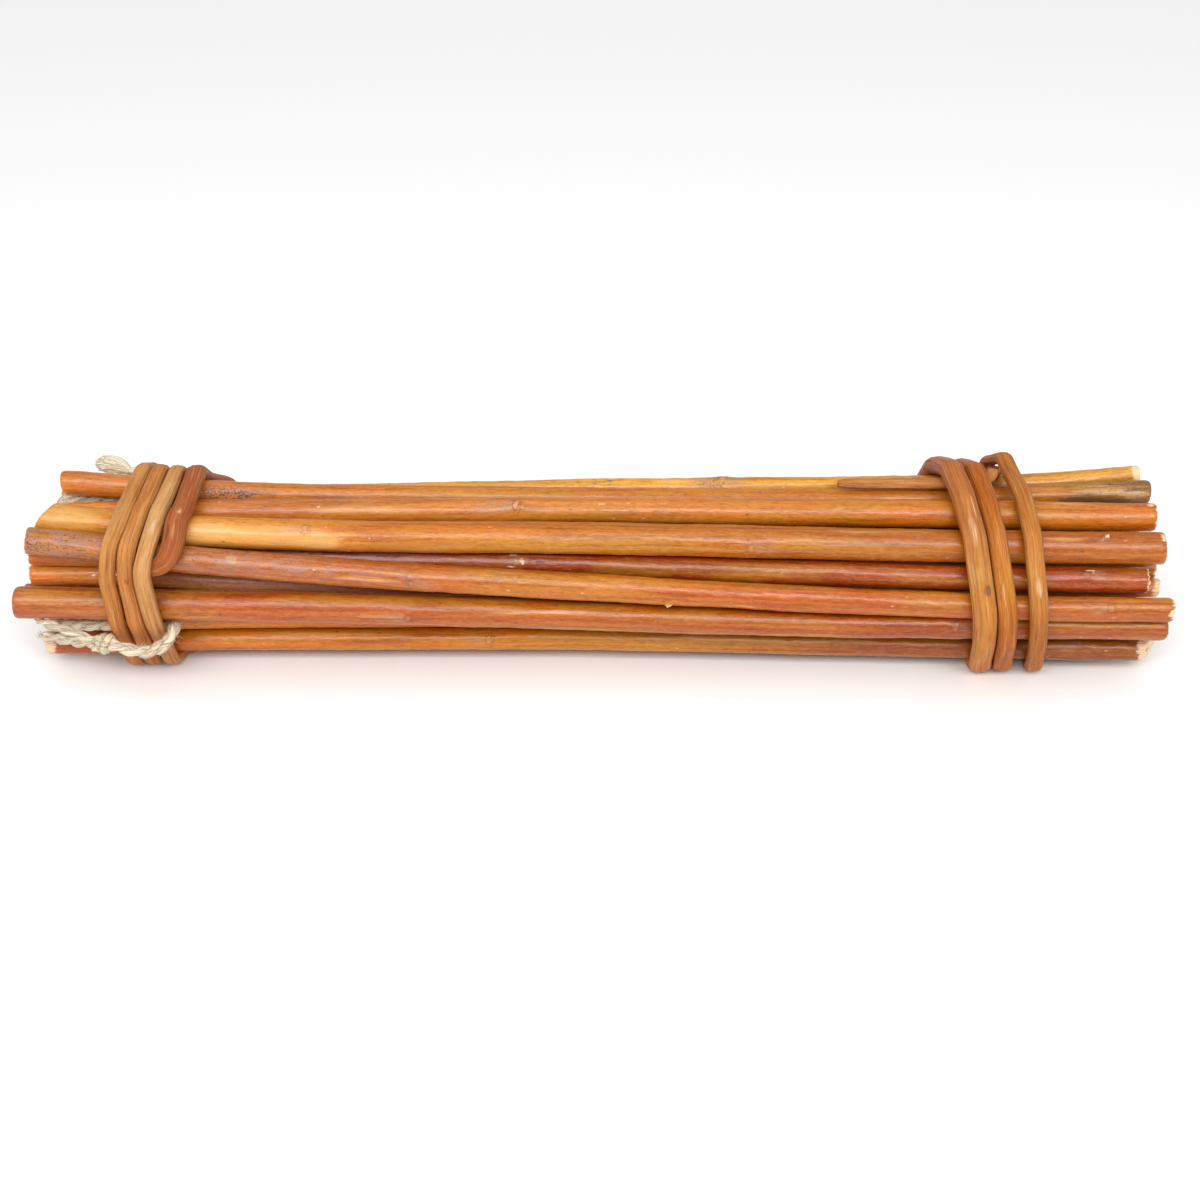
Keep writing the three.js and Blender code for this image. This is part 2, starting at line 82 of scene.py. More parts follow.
def add_softbox(name, place, size, power):
    """A rectangular light that faces the origin."""
    data = bpy.data.lights.new(name, "AREA")
    data.shape = "RECTANGLE"
    data.size, data.size_y = size
    data.energy = power
    light = add_object(name, data)
    light.location = place
    light.rotation_euler = (-Vector(place)).to_track_quat("-Z", "Y").to_euler()


def add_floor():
    half = 3.0
    corners = [(-half, -half, 0), (half, -half, 0), (half, half, 0), (-half, half, 0)]
    mesh = bpy.data.meshes.new("floor")
    mesh.from_pydata(corners, [], [(0, 1, 2, 3)])
    material = bpy.data.materials.new("pale floor")
    material.use_nodes = True
    shader = material.node_tree.nodes["Principled BSDF"]
    shader.inputs["Base Color"].default_value = (0.97, 0.97, 0.97, 1)
    shader.inputs["Roughness"].default_value = 0.9
    shader.inputs["Specular IOR Level"].default_value = 0.0
    mesh.materials.append(material)
    floor = add_object("floor", mesh)


def add_studio():
    scene = bpy.context.scene
    scene.view_settings.view_transform = "Standard"
    world = bpy.data.worlds.new("studio")
    world.use_nodes = True
    background = world.node_tree.nodes["Background"]
    background.inputs["Color"].default_value = (1, 1, 1, 1)
    background.inputs["Strength"].default_value = 0.56
    scene.world = world
    add_softbox("key", (0.0, -0.62, 0.66), (1.25, 0.3), 7.2)
    data = bpy.data.lights.new("sky", "SUN")
    data.energy = 0.5
    data.angle = math.radians(60)
    add_object("sky", data).rotation_euler = (math.radians(12), 0, 0)


# ---- curves and small functions

def smooth_curve(knots, at):
    """Rows at positions, by a Catmull-Rom spline through knots whose first column is the position."""
    knots = np.asarray(knots, float)
    where, rows = knots[:, 0], knots[:, 1:]
    slope = np.empty_like(rows)
    slope[1:-1] = (rows[2:] - rows[:-2]) / (where[2:] - where[:-2])[:, None]
    slope[0] = (rows[1] - rows[0]) / (where[1] - where[0])
    slope[-1] = (rows[-1] - rows[-2]) / (where[-1] - where[-2])
    at = np.clip(at, where[0], where[-1])
    k = np.clip(np.searchsorted(where, at) - 1, 0, len(where) - 2)
    span = (where[k + 1] - where[k])[:, None]
    t = (at - where[k])[:, None] / span
    a = rows[k] * (2 * t**3 - 3 * t**2 + 1) + slope[k] * span * (t**3 - 2 * t**2 + t)
    return a + rows[k + 1] * (3 * t**2 - 2 * t**3) + slope[k + 1] * span * (t**3 - t**2)


def steps_along(points):
    gaps = np.linalg.norm(np.diff(points, axis=0), axis=1)
    return np.concatenate([[0.0], np.cumsum(gaps)])


def resampled(points, step):
    """The same polyline with its points a step apart, and their distances along it."""
    far = steps_along(points)
    at = np.linspace(0, far[-1], max(int(round(far[-1] / step)), 2) + 1)
    return np.column_stack([np.interp(at, far, points[:, i]) for i in range(points.shape[1])]), at


def unit(v):
    return v / np.maximum(np.linalg.norm(v, axis=-1, keepdims=True), 1e-9)


def tangents_of(points):
    return unit(np.gradient(points, axis=0))


def cross_section(path, aid):
    """Two directions square to a path at each point. aid is a direction that the path never takes."""
    forward = tangents_of(path)
    side = unit(np.cross(forward, np.array(aid)))
    return side, np.cross(side, forward)


def point_at(path, far, at):
    return np.array([np.interp(at, far, path[:, i]) for i in range(3)])


def turns_round(sides):
    return np.linspace(0, 2 * math.pi, sides, endpoint=False)


def from_face(x, u, v):
    """A point of the bundle's face coordinates in the frame: u up the near face, v out of it."""
    x, u, v = np.broadcast_arrays(np.asarray(x, float), u, v)
    along = x[..., None] * np.array([1.0, 0, 0])
    return AXIS + along + u[..., None] * FACE_UP + v[..., None] * FACE_OUT


def wrap(angle):
    return (angle + math.pi) % (2 * math.pi) - math.pi


def linear(colour):
    """A display colour of 0 to 255 as the linear colour that shaders take."""
    c = np.asarray(colour, float) / 255
    return np.where(c <= 0.04045, c / 12.92, ((c + 0.055) / 1.055) ** 2.4)


def deep(colour):
    """The linear colour of a glossy surface, without the white that its sheen adds."""
    return np.clip(linear(colour) * 0.95 - 0.028, 0.003, 1)


def tones_at(stops, at):
    """The surface colours at positions, between stops of a position and a display colour."""
    rows = np.array([[place, *deep(colour)] for place, colour in stops])
    return np.stack([np.interp(at, rows[:, 0], rows[:, 1 + i]) for i in range(3)], axis=-1)


def ripple(random, x, turn, longest, shortest, around=3, waves=7):
    """A smooth uneven surface between about -1 and 1, as a sum of waves along x and round the turn."""
    total = np.zeros(np.broadcast(x, turn).shape)
    for _ in range(waves):
        length = math.exp(random.uniform(math.log(shortest), math.log(longest)))
        n = random.integers(0, around + 1)
        phase = random.uniform(0, 2 * math.pi)
        total += np.cos(2 * math.pi * x / length * random.choice([-1, 1]) + n * turn + phase)
    return total / math.sqrt(waves) / 1.2


# ---- meshes

def ring_faces(rings, sides, first=0):
    i, j = np.meshgrid(np.arange(rings - 1), np.arange(sides), indexing="ij")
    a = first + i * sides + j
    b = first + i * sides + (j + 1) % sides
    return np.stack([a, b, b + sides, a + sides], axis=-1).reshape(-1, 4)


def make_piece(node, material, points, faces, grain, tone, marks=None, eyes=None):
    """A mesh piece that stands for a CAD node. points are in millimetres."""
    name = "visual_" + node
    mesh = bpy.data.meshes.new(name)
    points = points.reshape(-1, 3).copy()
    points[:, 2] = np.maximum(points[:, 2], FLOOR_GAP)
    mesh.from_pydata((points * MM).tolist(), [], [[int(i) for i in f] for f in faces])
    colour = np.ones((len(points), 4))
    colour[:, :3] = tone.reshape(-1, 3)
    painted = [("grain", "VECTOR", grain), ("tone", "COLOR", colour)]
    if marks is not None:
        painted.append(("marks", "COLOR", np.clip(marks, 0, 1)))
    if eyes is not None:
        painted.append(("eye", "VECTOR", eyes))
    for title, kind, values in painted:
        data = mesh.attributes.new(title, "FLOAT_" + kind, "POINT").data
        data.foreach_set(kind.lower(), values.reshape(-1))
    mesh.polygons.foreach_set("use_smooth", [True] * len(mesh.polygons))
    mesh.validate()
    mesh.materials.append(material)
    piece = add_object(name, mesh)
    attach(piece, "root")
    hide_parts(node)


# ---- materials

class Nodes:
    """A short way to write a node material."""

    def __init__(self, name):
        self.material = bpy.data.materials.new(name)
        self.material.use_nodes = True
        self.tree = self.material.node_tree
        self.shader = self.tree.nodes["Principled BSDF"]
        self.grain, self.tone = self.attribute("grain", "Vector"), self.attribute("tone")

    def add(self, kind, inputs=(), **settings):
        node = self.tree.nodes.new(kind)
        for key, value in settings.items():
            setattr(node, key, value)
        for key, value in dict(inputs).items():
            self.feed(node.inputs[key], value)
        return node

    def feed(self, socket, value):
        if isinstance(value, bpy.types.NodeSocket):
            self.tree.links.new(value, socket)
        else:
            socket.default_value = value

    def attribute(self, name, output="Color"):
        return self.add("ShaderNodeAttribute", attribute_name=name).outputs[output]

    def math(self, operation, a, b=0.0, clamp=False):
        node = self.add("ShaderNodeMath", operation=operation, use_clamp=clamp)
        self.feed(node.inputs[0], a)
        self.feed(node.inputs[1], b)
        return node.outputs[0]

    def plus(self, a, b):
        return self.math("ADD", a, b)

    def minus(self, a, b):
        return self.math("SUBTRACT", a, b)

    def times(self, a, b):
        return self.math("MULTIPLY", a, b)

    def sway(self, noise, amount):
        """A noise of 0 to 1 as a swing about zero."""
        return self.times(self.minus(noise, 0.5), amount)

    def ramp(self, value, low, high, to_low=0.0, to_high=1.0):
        inputs = {"Value": value, "From Min": low, "From Max": high, "To Min": to_low, "To Max": to_high}
        return self.add("ShaderNodeMapRange", inputs).outputs["Result"]

    def stretched(self, along, across):
        """The grain's coordinates, scaled along the piece and across it."""
        inputs = {"Vector": self.grain, "Scale": (along, across, across)}
        return self.add("ShaderNodeMapping", inputs).outputs["Vector"]

    def noise(self, along, across, scale, detail, rough, warp=0.0):
        at = self.stretched(along, across)
        inputs = {"Vector": at, "Scale": scale, "Detail": detail, "Roughness": rough, "Distortion": warp}
        return self.add("ShaderNodeTexNoise", inputs).outputs["Fac"]

    def mix(self, factor, a, b, blend="MIX"):
        node = self.add("ShaderNodeMix", data_type="RGBA", blend_type=blend)
        self.feed(node.inputs["Factor"], factor)
        self.feed(node.inputs["A"], a if isinstance(a, bpy.types.NodeSocket) else (*a, 1))
        self.feed(node.inputs["B"], b if isinstance(b, bpy.types.NodeSocket) else (*b, 1))
        return node.outputs["Result"]

    def tint(self, mask, most, colour, paint):
        """The colour with paint on it where the mask shows."""
        return self.mix(self.times(mask, most), colour, paint)

    def stain(self, amount, colour, shade):
        """The colour darkened by a shade."""
        return self.mix(amount, colour, self.mix(1.0, colour, shade, "MULTIPLY"))

    def patch(self, mark, uneven, shown, fade):
        """Where a painted mark shows, its edge broken up by noise. shown and fade are the ends of ramps."""
        return self.times(self.ramp(self.plus(mark, uneven), *shown), self.ramp(mark, *fade))

    def finish(self, colour, roughness, height, depth, ior=1.45):
        self.feed(self.shader.inputs["Base Color"], colour)
        self.feed(self.shader.inputs["Roughness"], roughness)
        self.shader.inputs["IOR"].default_value = ior
        bump = self.add("ShaderNodeBump", {"Height": height, "Strength": 1.0, "Distance": depth * MM})
        self.feed(self.shader.inputs["Normal"], bump.outputs["Normal"])
        return self.material


def branch_eyes(m):
    """Where a side shoot grew: a pale eye with a dark rim, a crease across the twig and a dull fan."""
    place = m.add("ShaderNodeSeparateXYZ", {"Vector": m.attribute("eye", "Vector")})
    noise = m.add("ShaderNodeTexNoise", {"Vector": m.grain, "Scale": 0.9, "Detail": 3.0})
    wander = m.add("ShaderNodeSeparateXYZ", {"Vector": noise.outputs["Color"]})
    dx = m.plus(place.outputs["X"], m.ramp(wander.outputs["X"], 0, 1, -0.7, 0.7))
    dt = m.plus(place.outputs["Y"], m.ramp(wander.outputs["Y"], 0, 1, -0.7, 0.7))
    strength = place.outputs["Z"]
    off = m.math("ABSOLUTE", dt)
    long, wide = m.math("DIVIDE", dx, 0.62), m.math("DIVIDE", dt, 0.92)
    rho = m.math("SQRT", m.plus(m.times(long, long), m.times(wide, wide)))
    rim = m.ramp(m.math("ABSOLUTE", m.minus(rho, 1.0)), 0.45, 0.12)
    core = m.ramp(rho, 0.9, 0.55)
    bow = m.minus(dx, m.plus(0.95, m.times(m.times(dt, dt), -0.14)))
    crease = m.times(m.ramp(m.math("ABSOLUTE", bow), 0.32, 0.06), m.ramp(off, 2.2, 0.9))
    back = m.times(dx, -1.0)
    fan = m.times(m.ramp(back, 0.2, 0.9), m.ramp(back, 6.5, 2.0))
    fan = m.times(fan, m.ramp(m.minus(off, m.times(back, 0.2)), 1.0, 0.3))
    core = m.times(core, m.ramp(strength, 0.4, 1.0, 0.3, 1.0))
    return [m.times(part, strength) for part in (rim, core, crease, fan)]


def bark_material(name, gloss, specks, redness):
    """Willow bark: the piece's own tone in streaks, with lenticels, stains, scars and bare wood."""
    m = Nodes(name)
    parts = m.add("ShaderNodeSeparateColor", {"Color": m.attribute("marks")})
    wood_mark, scar_mark, mottle_mark = parts.outputs["Red"], parts.outputs["Green"], parts.outputs["Blue"]
    pale_mark = m.attribute("marks", "Alpha")

    streak = m.noise(0.035, 1, 1.1, 4, 0.6)
    band = m.noise(0.012, 0.3, 1.0, 2, 0.5)
    thread = m.noise(0.11, 2.6, 1.4, 3, 0.6)
    blotch = m.noise(0.16, 0.55, 0.4, 4, 0.6)
    fine = m.noise(0.5, 2.2, 1.3, 5, 0.7)
    speck = m.noise(1.1, 1.6, 2.0, 2, 0.5)
    grit = m.noise(0.9, 2.0, 2.4, 3, 0.7)

    warm = m.mix(1.0, m.tone, redness, "MULTIPLY")
    ochre = m.mix(0.55, m.tone, (0.5, 0.235, 0.015))
    colour = m.mix(m.ramp(band, 0.4, 0.6, 0.0, 0.85), ochre, warm)
    colour = m.mix(m.ramp(blotch, 0.56, 0.4, 0.0, 0.8), colour, m.tone)
    colour = m.stain(m.ramp(streak, 0.5, 0.68, 0, 0.75), colour, (0.6, 0.45, 0.36))
    colour = m.mix(m.ramp(streak, 0.48, 0.3, 0, 0.5), colour, m.mix(0.28, colour, (0.95, 0.45, 0.06)))
    colour = m.stain(m.ramp(thread, 0.54, 0.68, 0, 0.5), colour, (0.58, 0.42, 0.33))
    colour = m.stain(m.ramp(fine, 0.51, 0.68, 0, 0.6), colour, (0.44, 0.32, 0.24))
    colour = m.mix(m.ramp(fine, 0.46, 0.32, 0, 0.42), colour, m.mix(0.3, colour, (1.0, 0.66, 0.34)))
    colour = m.stain(m.ramp(grit, 0.55, 0.7, 0, 0.5), colour, (0.5, 0.36, 0.28))

    # Rubbed places, paler and streaked.
    uneven = m.plus(m.sway(streak, 2.4), m.sway(thread, 1.4))
    rubbed = m.patch(pale_mark, uneven, (0.3, 0.9), (0.0, 0.25))
    colour = m.tint(rubbed, 0.75, colour, m.mix(0.55, colour, (0.92, 0.56, 0.2)))

    # Lenticels: small dark pores with a few pale ones among them.
    pores = m.add("ShaderNodeTexVoronoi", {"Vector": m.stretched(0.34, 0.7), "Scale": 1.0})
    pick = m.add("ShaderNodeSeparateColor", {"Color": pores.outputs["Color"]})
    dot = m.ramp(pores.outputs["Distance"], 0.16, 0.07)
    dark_dot = m.times(dot, m.math("LESS_THAN", pick.outputs["Red"], specks))
    pale_dot = m.times(dot, m.math("GREATER_THAN", pick.outputs["Red"], 0.93))
    colour = m.tint(dark_dot, 0.7, colour, (0.09, 0.03, 0.014))
    colour = m.tint(pale_dot, 0.5, colour, (0.85, 0.5, 0.28))

    # Mottled old bark: violet-grey film broken by black specks.
    film = m.times(mottle_mark, m.ramp(m.noise(0.22, 0.8, 1.2, 4, 0.7), 0.42, 0.6))
    colour = m.tint(film, 0.55, colour, (0.36, 0.2, 0.17))
    black = m.plus(speck, m.sway(blotch, 0.7))
    black = m.times(mottle_mark, m.ramp(black, 0.55, 0.66))
    colour = m.tint(black, 0.8, colour, (0.05, 0.02, 0.018))

    rim, core, crease, fan = branch_eyes(m)
    dull = m.times(fan, m.ramp(fine, 0.35, 0.6, 0.9, 0.35))
    colour = m.mix(dull, colour, m.mix(0.75, colour, (0.36, 0.25, 0.18)))
    colour = m.tint(core, 0.6, colour, (0.72, 0.36, 0.18))
    lines = m.times(m.math("MAXIMUM", rim, crease), m.ramp(speck, 0.36, 0.56, 0.15, 1.0))
    colour = m.tint(lines, 0.62, colour, (0.1, 0.045, 0.03))

    scar = m.patch(scar_mark, m.sway(fine, 1.3), (0.32, 0.7), (0.03, 0.2))
    colour = m.tint(scar, 0.75, colour, (0.09, 0.04, 0.025))

    ragged = m.noise(0.3, 1.8, 1.7, 5, 0.7)
    bare = m.patch(wood_mark, m.sway(ragged, 1.7), (0.42, 0.72), (0.05, 0.3))
    fibres = m.noise(0.12, 3.0, 2.2, 4, 0.65)
    wood = m.mix(m.ramp(fibres, 0.3, 0.7), (0.82, 0.52, 0.28), (0.95, 0.76, 0.53))
    colour = m.tint(bare, 0.92, colour, wood)

    rough = m.ramp(m.plus(blotch, m.times(fine, 0.6)), 0.5, 1.1, gloss - 0.05, gloss + 0.2)
    rough = m.plus(rough, m.times(bare, 0.35))
    rough = m.math("ADD", rough, m.times(m.math("MAXIMUM", film, scar), 0.15), clamp=True)
    height = m.plus(streak, m.times(fine, 0.6))
    height = m.plus(height, m.times(thread, 0.35))
    height = m.plus(height, m.times(m.math("MAXIMUM", dark_dot, pale_dot), 0.3))
    height = m.minus(height, m.times(m.math("MAXIMUM", scar, lines), 0.8))
    height = m.plus(height, m.times(m.times(fibres, bare), 0.8))
    return m.finish(colour, rough, height, 0.05, 1.5)


def withy_material(name):
    """Half-peeled willow: fibres along the strand with darker cracks between them."""
    m = Nodes(name)
    parts = m.add("ShaderNodeSeparateColor", {"Color": m.attribute("marks")})
    wood_mark, scar_mark = parts.outputs["Red"], parts.outputs["Green"]

    ribs = m.noise(0.035, 1.0, 1.2, 3, 0.55, 0.2)
    fibres = m.noise(0.06, 1.9, 1.5, 5, 0.65, 0.3)
    threads = m.noise(0.12, 4.2, 1.6, 3, 0.6)
    blotch = m.noise(0.2, 0.5, 0.5, 3, 0.6)
    colour = m.stain(m.ramp(blotch, 0.4, 0.6, 0, 0.75), m.tone, (0.92, 0.72, 0.52))
    colour = m.stain(m.ramp(ribs, 0.5, 0.66, 0, 0.6), colour, (0.56, 0.42, 0.3))
    colour = m.stain(m.ramp(fibres, 0.54, 0.7, 0, 0.7), colour, (0.46, 0.32, 0.22))
    colour = m.mix(m.ramp(fibres, 0.46, 0.3, 0, 0.6), colour, m.mix(0.5, colour, (0.9, 0.66, 0.38)))
    colour = m.stain(m.ramp(threads, 0.57, 0.7, 0, 0.45), colour, (0.4, 0.28, 0.2))
    scar = m.patch(scar_mark, m.sway(threads, 1.1), (0.3, 0.65), (0.02, 0.2))
    colour = m.tint(scar, 0.65, colour, (0.14, 0.06, 0.035))
    # Bare wood where the wood marks show. On the right withy one of them, at turn 1096, is a painted
    # highlight in this pale tint.
    uneven = m.plus(m.sway(fibres, 2.2), m.sway(threads, 1.2))
    bare = m.patch(wood_mark, uneven, (0.4, 0.9), (0.05, 0.3))
    colour = m.tint(bare, 0.65, colour, (0.88, 0.64, 0.4))

    rough = m.ramp(fibres, 0.3, 0.7, 0.46, 0.62)
    height = m.plus(fibres, m.times(threads, 0.4))
    height = m.minus(height, m.times(ribs, 0.9))
    height = m.minus(height, m.times(scar, 0.5))
    return m.finish(colour, rough, height, 0.42)


def jute_material(name):
    """Jute: pale dry fibres with darker furrows where they are twisted together."""
    m = Nodes(name)
    fibres = m.noise(0.2, 3.2, 1.5, 5, 0.7, 0.5)
    clumps = m.noise(0.15, 0.9, 1.1, 3, 0.6)
    colour = m.stain(m.ramp(clumps, 0.38, 0.62, 0, 0.7), m.tone, (0.92, 0.82, 0.68))
    colour = m.stain(m.ramp(fibres, 0.52, 0.7, 0, 0.65), colour, (0.62, 0.48, 0.34))
    colour = m.mix(m.ramp(fibres, 0.44, 0.28, 0, 0.6), colour, (0.95, 0.87, 0.74))
    return m.finish(colour, m.ramp(fibres, 0.3, 0.7, 0.78, 0.92), fibres, 0.4, 1.4)


# ---- twigs

def centre_line(node):
    """A CAD twig's stations in millimetres: x, y, z and radius."""
    corners = np.array([v.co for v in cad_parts[node].data.vertices]) / MM
    at = np.round(corners[:, 0], 1)
    rows = []
    for x in np.unique(at):
        ring = corners[at == x]
        low, high = ring.min(0), ring.max(0)
        middle = (low + high) / 2
        rows.append([ring[:, 0].mean(), middle[1], middle[2], (high[1] - low[1]) / 2])
    return np.array(rows)


HONEY, ORANGE, RUSSET, DARK = (226, 160, 84), (216, 130, 60), (182, 98, 52), (150, 80, 46)

# What each near twig shows. tone: colours along it. marks: [kind, x, turn, half length, half width,
# strength].
# lean: how far the cut at its left and right end leans, up the face and out of it.
TWIG_LOOKS = {
    "crest": {
        "tone": [(-111, HONEY), (0, (240, 176, 72)), (80, (228, 160, 62)), (114, (240, 178, 90))],
        "marks": [
            ["mottle", 25, 40, 4.5, 2.5, 1.0], ["eye", 27, 50, 1, 1, 0.8], ["scar", 0, 30, 4, 0.9, 0.5],
            ["scar", 5, 50, 3.0, 0.5, 0.5], ["pale", 18, 35, 6, 0.7, 0.9], ["wood", 113.5, 30, 1.6, 3, 0.9],
            ["scar", -22, 45, 1.5, 0.4, 0.5], ["scar", 48, 42, 1.2, 0.4, 0.6], ["pale", -30, 30, 20, 1, 0.5],
            ["wood", 31, 70, 2.2, 0.6, 0.7],
        ], "torn": (0.3, 0.9),
    },
    "top": {
        "tone": [(-108, (232, 148, 76)), (-60, (208, 126, 54)), (70, (206, 120, 50)), (88, (204, 124, 62)),
                 (96, (190, 118, 60)), (101, (152, 106, 54)), (116, (138, 98, 48))],
        "marks": [
            ["mottle", -74, -12, 9, 2.2, 0.9], ["mottle", -60, -10, 14, 1.5, 0.5],
            ["mottle", 109, 0, 10, 5, 0.5], ["scar", 102, -38, 6, 0.8, 0.8], ["scar", 112, 12, 4, 0.5, 0.7],
            ["scar", 107, -65, 9, 1.4, 0.8], ["scar", 98, -20, 3, 0.4, 0.6], ["scar", 106, 42, 4, 0.5, 0.6],
            ["mottle", -100, 0, 6, 3, 0.25], ["pale", 104, 20, 6, 1.2, 0.8], ["pale", 111, -8, 4, 0.9, 0.7],
            ["scar", 104, -62, 13, 1.5, 0.7], ["scar", 113, 48, 4, 0.7, 0.6],
            ["pale", -88, 20, 10, 1.5, 0.4],
        ], "torn": (0.1, 0.1),
    },
    "upper": {
        "tone": [(-109, (228, 148, 84)), (-70, (206, 126, 70)), (0, (220, 138, 68)), (60, (214, 120, 52)),
                 (113, (210, 118, 50))],
        "marks": [
            ["eye", -15.5, 18, 1, 1, 1.0], ["mottle", -22, 5, 5, 1.1, 0.7], ["wood", 1.5, 25, 0.9, 0.4, 0.8],
            ["wood", 112.6, 60, 0.9, 1.0, 0.8], ["mottle", 14, -5, 1.4, 0.7, 0.8],
            ["scar", 40, -50, 16, 0.8, 0.35], ["pale", -45, 5, 12, 1.0, 0.6], ["pale", 96, 60, 5, 0.8, 0.7],
            ["wood", -55, 20, 0.5, 0.3, 0.8],
        ], "torn": (0.5, 0.6),
    },
    "amber": {
        "tone": [(-112, (240, 172, 84)), (-90, (234, 150, 58)), (-76, (238, 162, 76)), (-60, (228, 148, 68)),
                 (-42, (210, 126, 44)), (0, (204, 122, 38)), (60, (182, 104, 20)), (114, (184, 102, 20))],
        "marks": [
            ["pale", -79, 0, 7, 3.0, 0.75], ["pale", -64, -8, 14, 2.4, 0.8], ["eye", -57, 18, 1, 1, 0.55],
            ["pale", -54, -30, 4, 1.6, 0.8], ["wood", -49.5, -65, 1.8, 0.4, 0.8],
            ["eye", 31.5, -25, 1, 1, 0.55], ["nub", 102.3, 38, 0.7, 0.6, 0.9],
            ["pale", 94, 32, 4.6, 0.5, 0.9], ["scar", 99.6, 32, 1.8, 0.5, 0.6],
            ["wood", 114.2, 45, 0.8, 1.6, 0.8], ["pale", -105, 10, 7, 3.4, 0.6],
            ["wood", -110, 50, 1.6, 1.6, 0.4], ["pale", 58, 50, 12, 0.7, 0.6],
            ["pale", -25, -55, 40, 1.2, 0.4], ["mottle", -56, 20, 3, 1, 0.5],
        ],
        "lean": [(0.62, -0.1), (0.02, 0.05)],
        "torn": (0.8, 0.6),
    },
    "dark": {
        # From x -86 to -81 the dark twig's tone is nearly black: a painted shadow for the deep gap that this
        # stretch lies in.
        "tone": [(-113, (198, 104, 52)), (-90, (190, 92, 46)), (-86, (96, 44, 26)), (-81, (104, 48, 30)),
                 (-74, (156, 70, 40)), (0, (158, 66, 18)), (111, (170, 78, 18))],
        "marks": [
            ["wood", -15.8, 38, 1.5, 0.22, 0.85], ["wood", -15.2, 12, 1.2, 0.25, 0.85],
            ["wood", -16.4, -14, 1.4, 0.2, 0.8], ["wood", -14.1, 5, 0.35, 1.1, 0.7],
            ["eye", -13.4, 15, 1, 1, 0.4], ["scar", -11.0, 5, 0.5, 0.4, 1.4],
            ["scar", -10.0, 5, 0.5, 0.4, 1.4], ["wood", 99.3, 40, 1.0, 0.25, 0.8],
            ["wood", 100.2, 30, 0.4, 0.5, 0.6], ["eye", 98.6, 22, 1, 1, 0.5],
            ["wood", 111.4, 0, 0.5, 3, 0.7], ["mottle", -45, 20, 30, 2, 0.6],
            ["pale", 60, 20, 20, 0.8, 0.35],
        ], "torn": (0.4, 0.9),
    },
    "crossing": {
        "tone": [(-112, (184, 112, 70)), (-70, (188, 108, 58)), (0, (204, 110, 38)), (60, (190, 92, 12)),
                 (116, (192, 92, 12))],
        "marks": [
            ["mottle", -108, 10, 20, 5, 1.0], ["mottle", -68, 15, 16, 4, 1.0],
            ["mottle", -44, 0, 12, 2, 0.7], ["pale", -71.3, 16, 1.2, 1.1, 1.6],
            ["wood", -71.6, 12, 0.8, 0.7, 0.4], ["eye", -36, -30, 1, 1, 0.5],
            ["pale", -45, -25, 7, 0.6, 0.8], ["nub", 15, -60, 0.8, 0.5, 0.9], ["eye", 103, 0, 1, 1, 0.5],
            ["wood", 115.6, -20, 1.0, 1.0, 0.9], ["pale", 30, -62, 3, 0.5, 0.9],
            ["scar", 88, 20, 14, 0.6, 0.35], ["mottle", -22, 15, 8, 1.6, 0.3],
        ], "torn": (0.4, 1.0),
    },
    "tucked": {
        # From x -80 to -50, where the tucked twig shows deep in a valley, its tone is a pale violet grey: a
        # painted sheen that also lightens the shade there.
        "tone": [(-114, (232, 134, 72)), (-92, (214, 124, 70)), (-80, (196, 130, 106)),
                 (-50, (198, 132, 108)), (0, (190, 112, 82)), (115, (200, 120, 66))],
        "marks": [
            ["wood", -101, 0, 0.5, 0.4, 0.9], ["wood", 115, 0, 1.6, 5, 0.7],
            ["scar", -94, 10, 1.2, 0.3, 0.5], ["mottle", -60, 10, 30, 1.5, 0.5],
        ], "torn": (0.5, 1.4),
    },
    "sliver": {
        "tone": [(-116, (190, 104, 62)), (0, (188, 122, 104)), (112, (176, 100, 66))],
        "marks": [["mottle", -20, 0, 80, 4, 0.5]],
        "torn": (0.3, 0.5),
    },
    "russet": {
        "tone": [(-116, (182, 90, 64)), (-60, (186, 94, 56)), (0, (188, 102, 48)), (60, (174, 88, 10)),
                 (116, (172, 86, 10))],
        "marks": [
            ["eye", -37, -35, 1, 1, 0.6], ["pale", -44, -28, 7, 0.5, 0.6], ["pale", -19, -8, 7, 0.5, 0.5],
            ["pale", -12, 2, 7, 0.5, 0.5], ["pale", -5, 14, 7, 0.5, 0.5], ["eye", 73, -5, 1, 1, 0.6],
            ["scar", -97, 25, 1.6, 0.4, 0.6], ["scar", -89, 30, 1.4, 0.4, 0.6],
            ["scar", -79.5, 25, 1.6, 0.4, 0.7], ["scar", -15.5, -40, 0.4, 0.3, 1.2],
        ], "torn": (0.15, 0.3),
        "rounded": (0.25, 0.3),
    },
    "bottom": {
        "tone": [(-114, (190, 96, 58)), (-95, (188, 98, 48)), (-80, (206, 120, 40)), (0, (210, 132, 48)),
                 (60, (164, 90, 22)), (116, (142, 78, 18))],
        "marks": [
            ["eye", -21.5, -10, 1, 1, 0.55], ["pale", -60, 20, 20, 0.7, 0.6],
            ["wood", -113.6, 0, 2.6, 4, 0.9], ["wood", 115.6, 60, 2.4, 4, 0.9],
            ["wood", -95, 0, 1.4, 1.2, 0.5], ["pale", 40, 10, 25, 0.8, 0.5], ["eye", 100, 25, 1, 1, 0.5],
        ],
        "lean": [(-0.2, 0.1), (-0.5, 0.6)],
        "torn": (1.6, 1.4),
    },
}


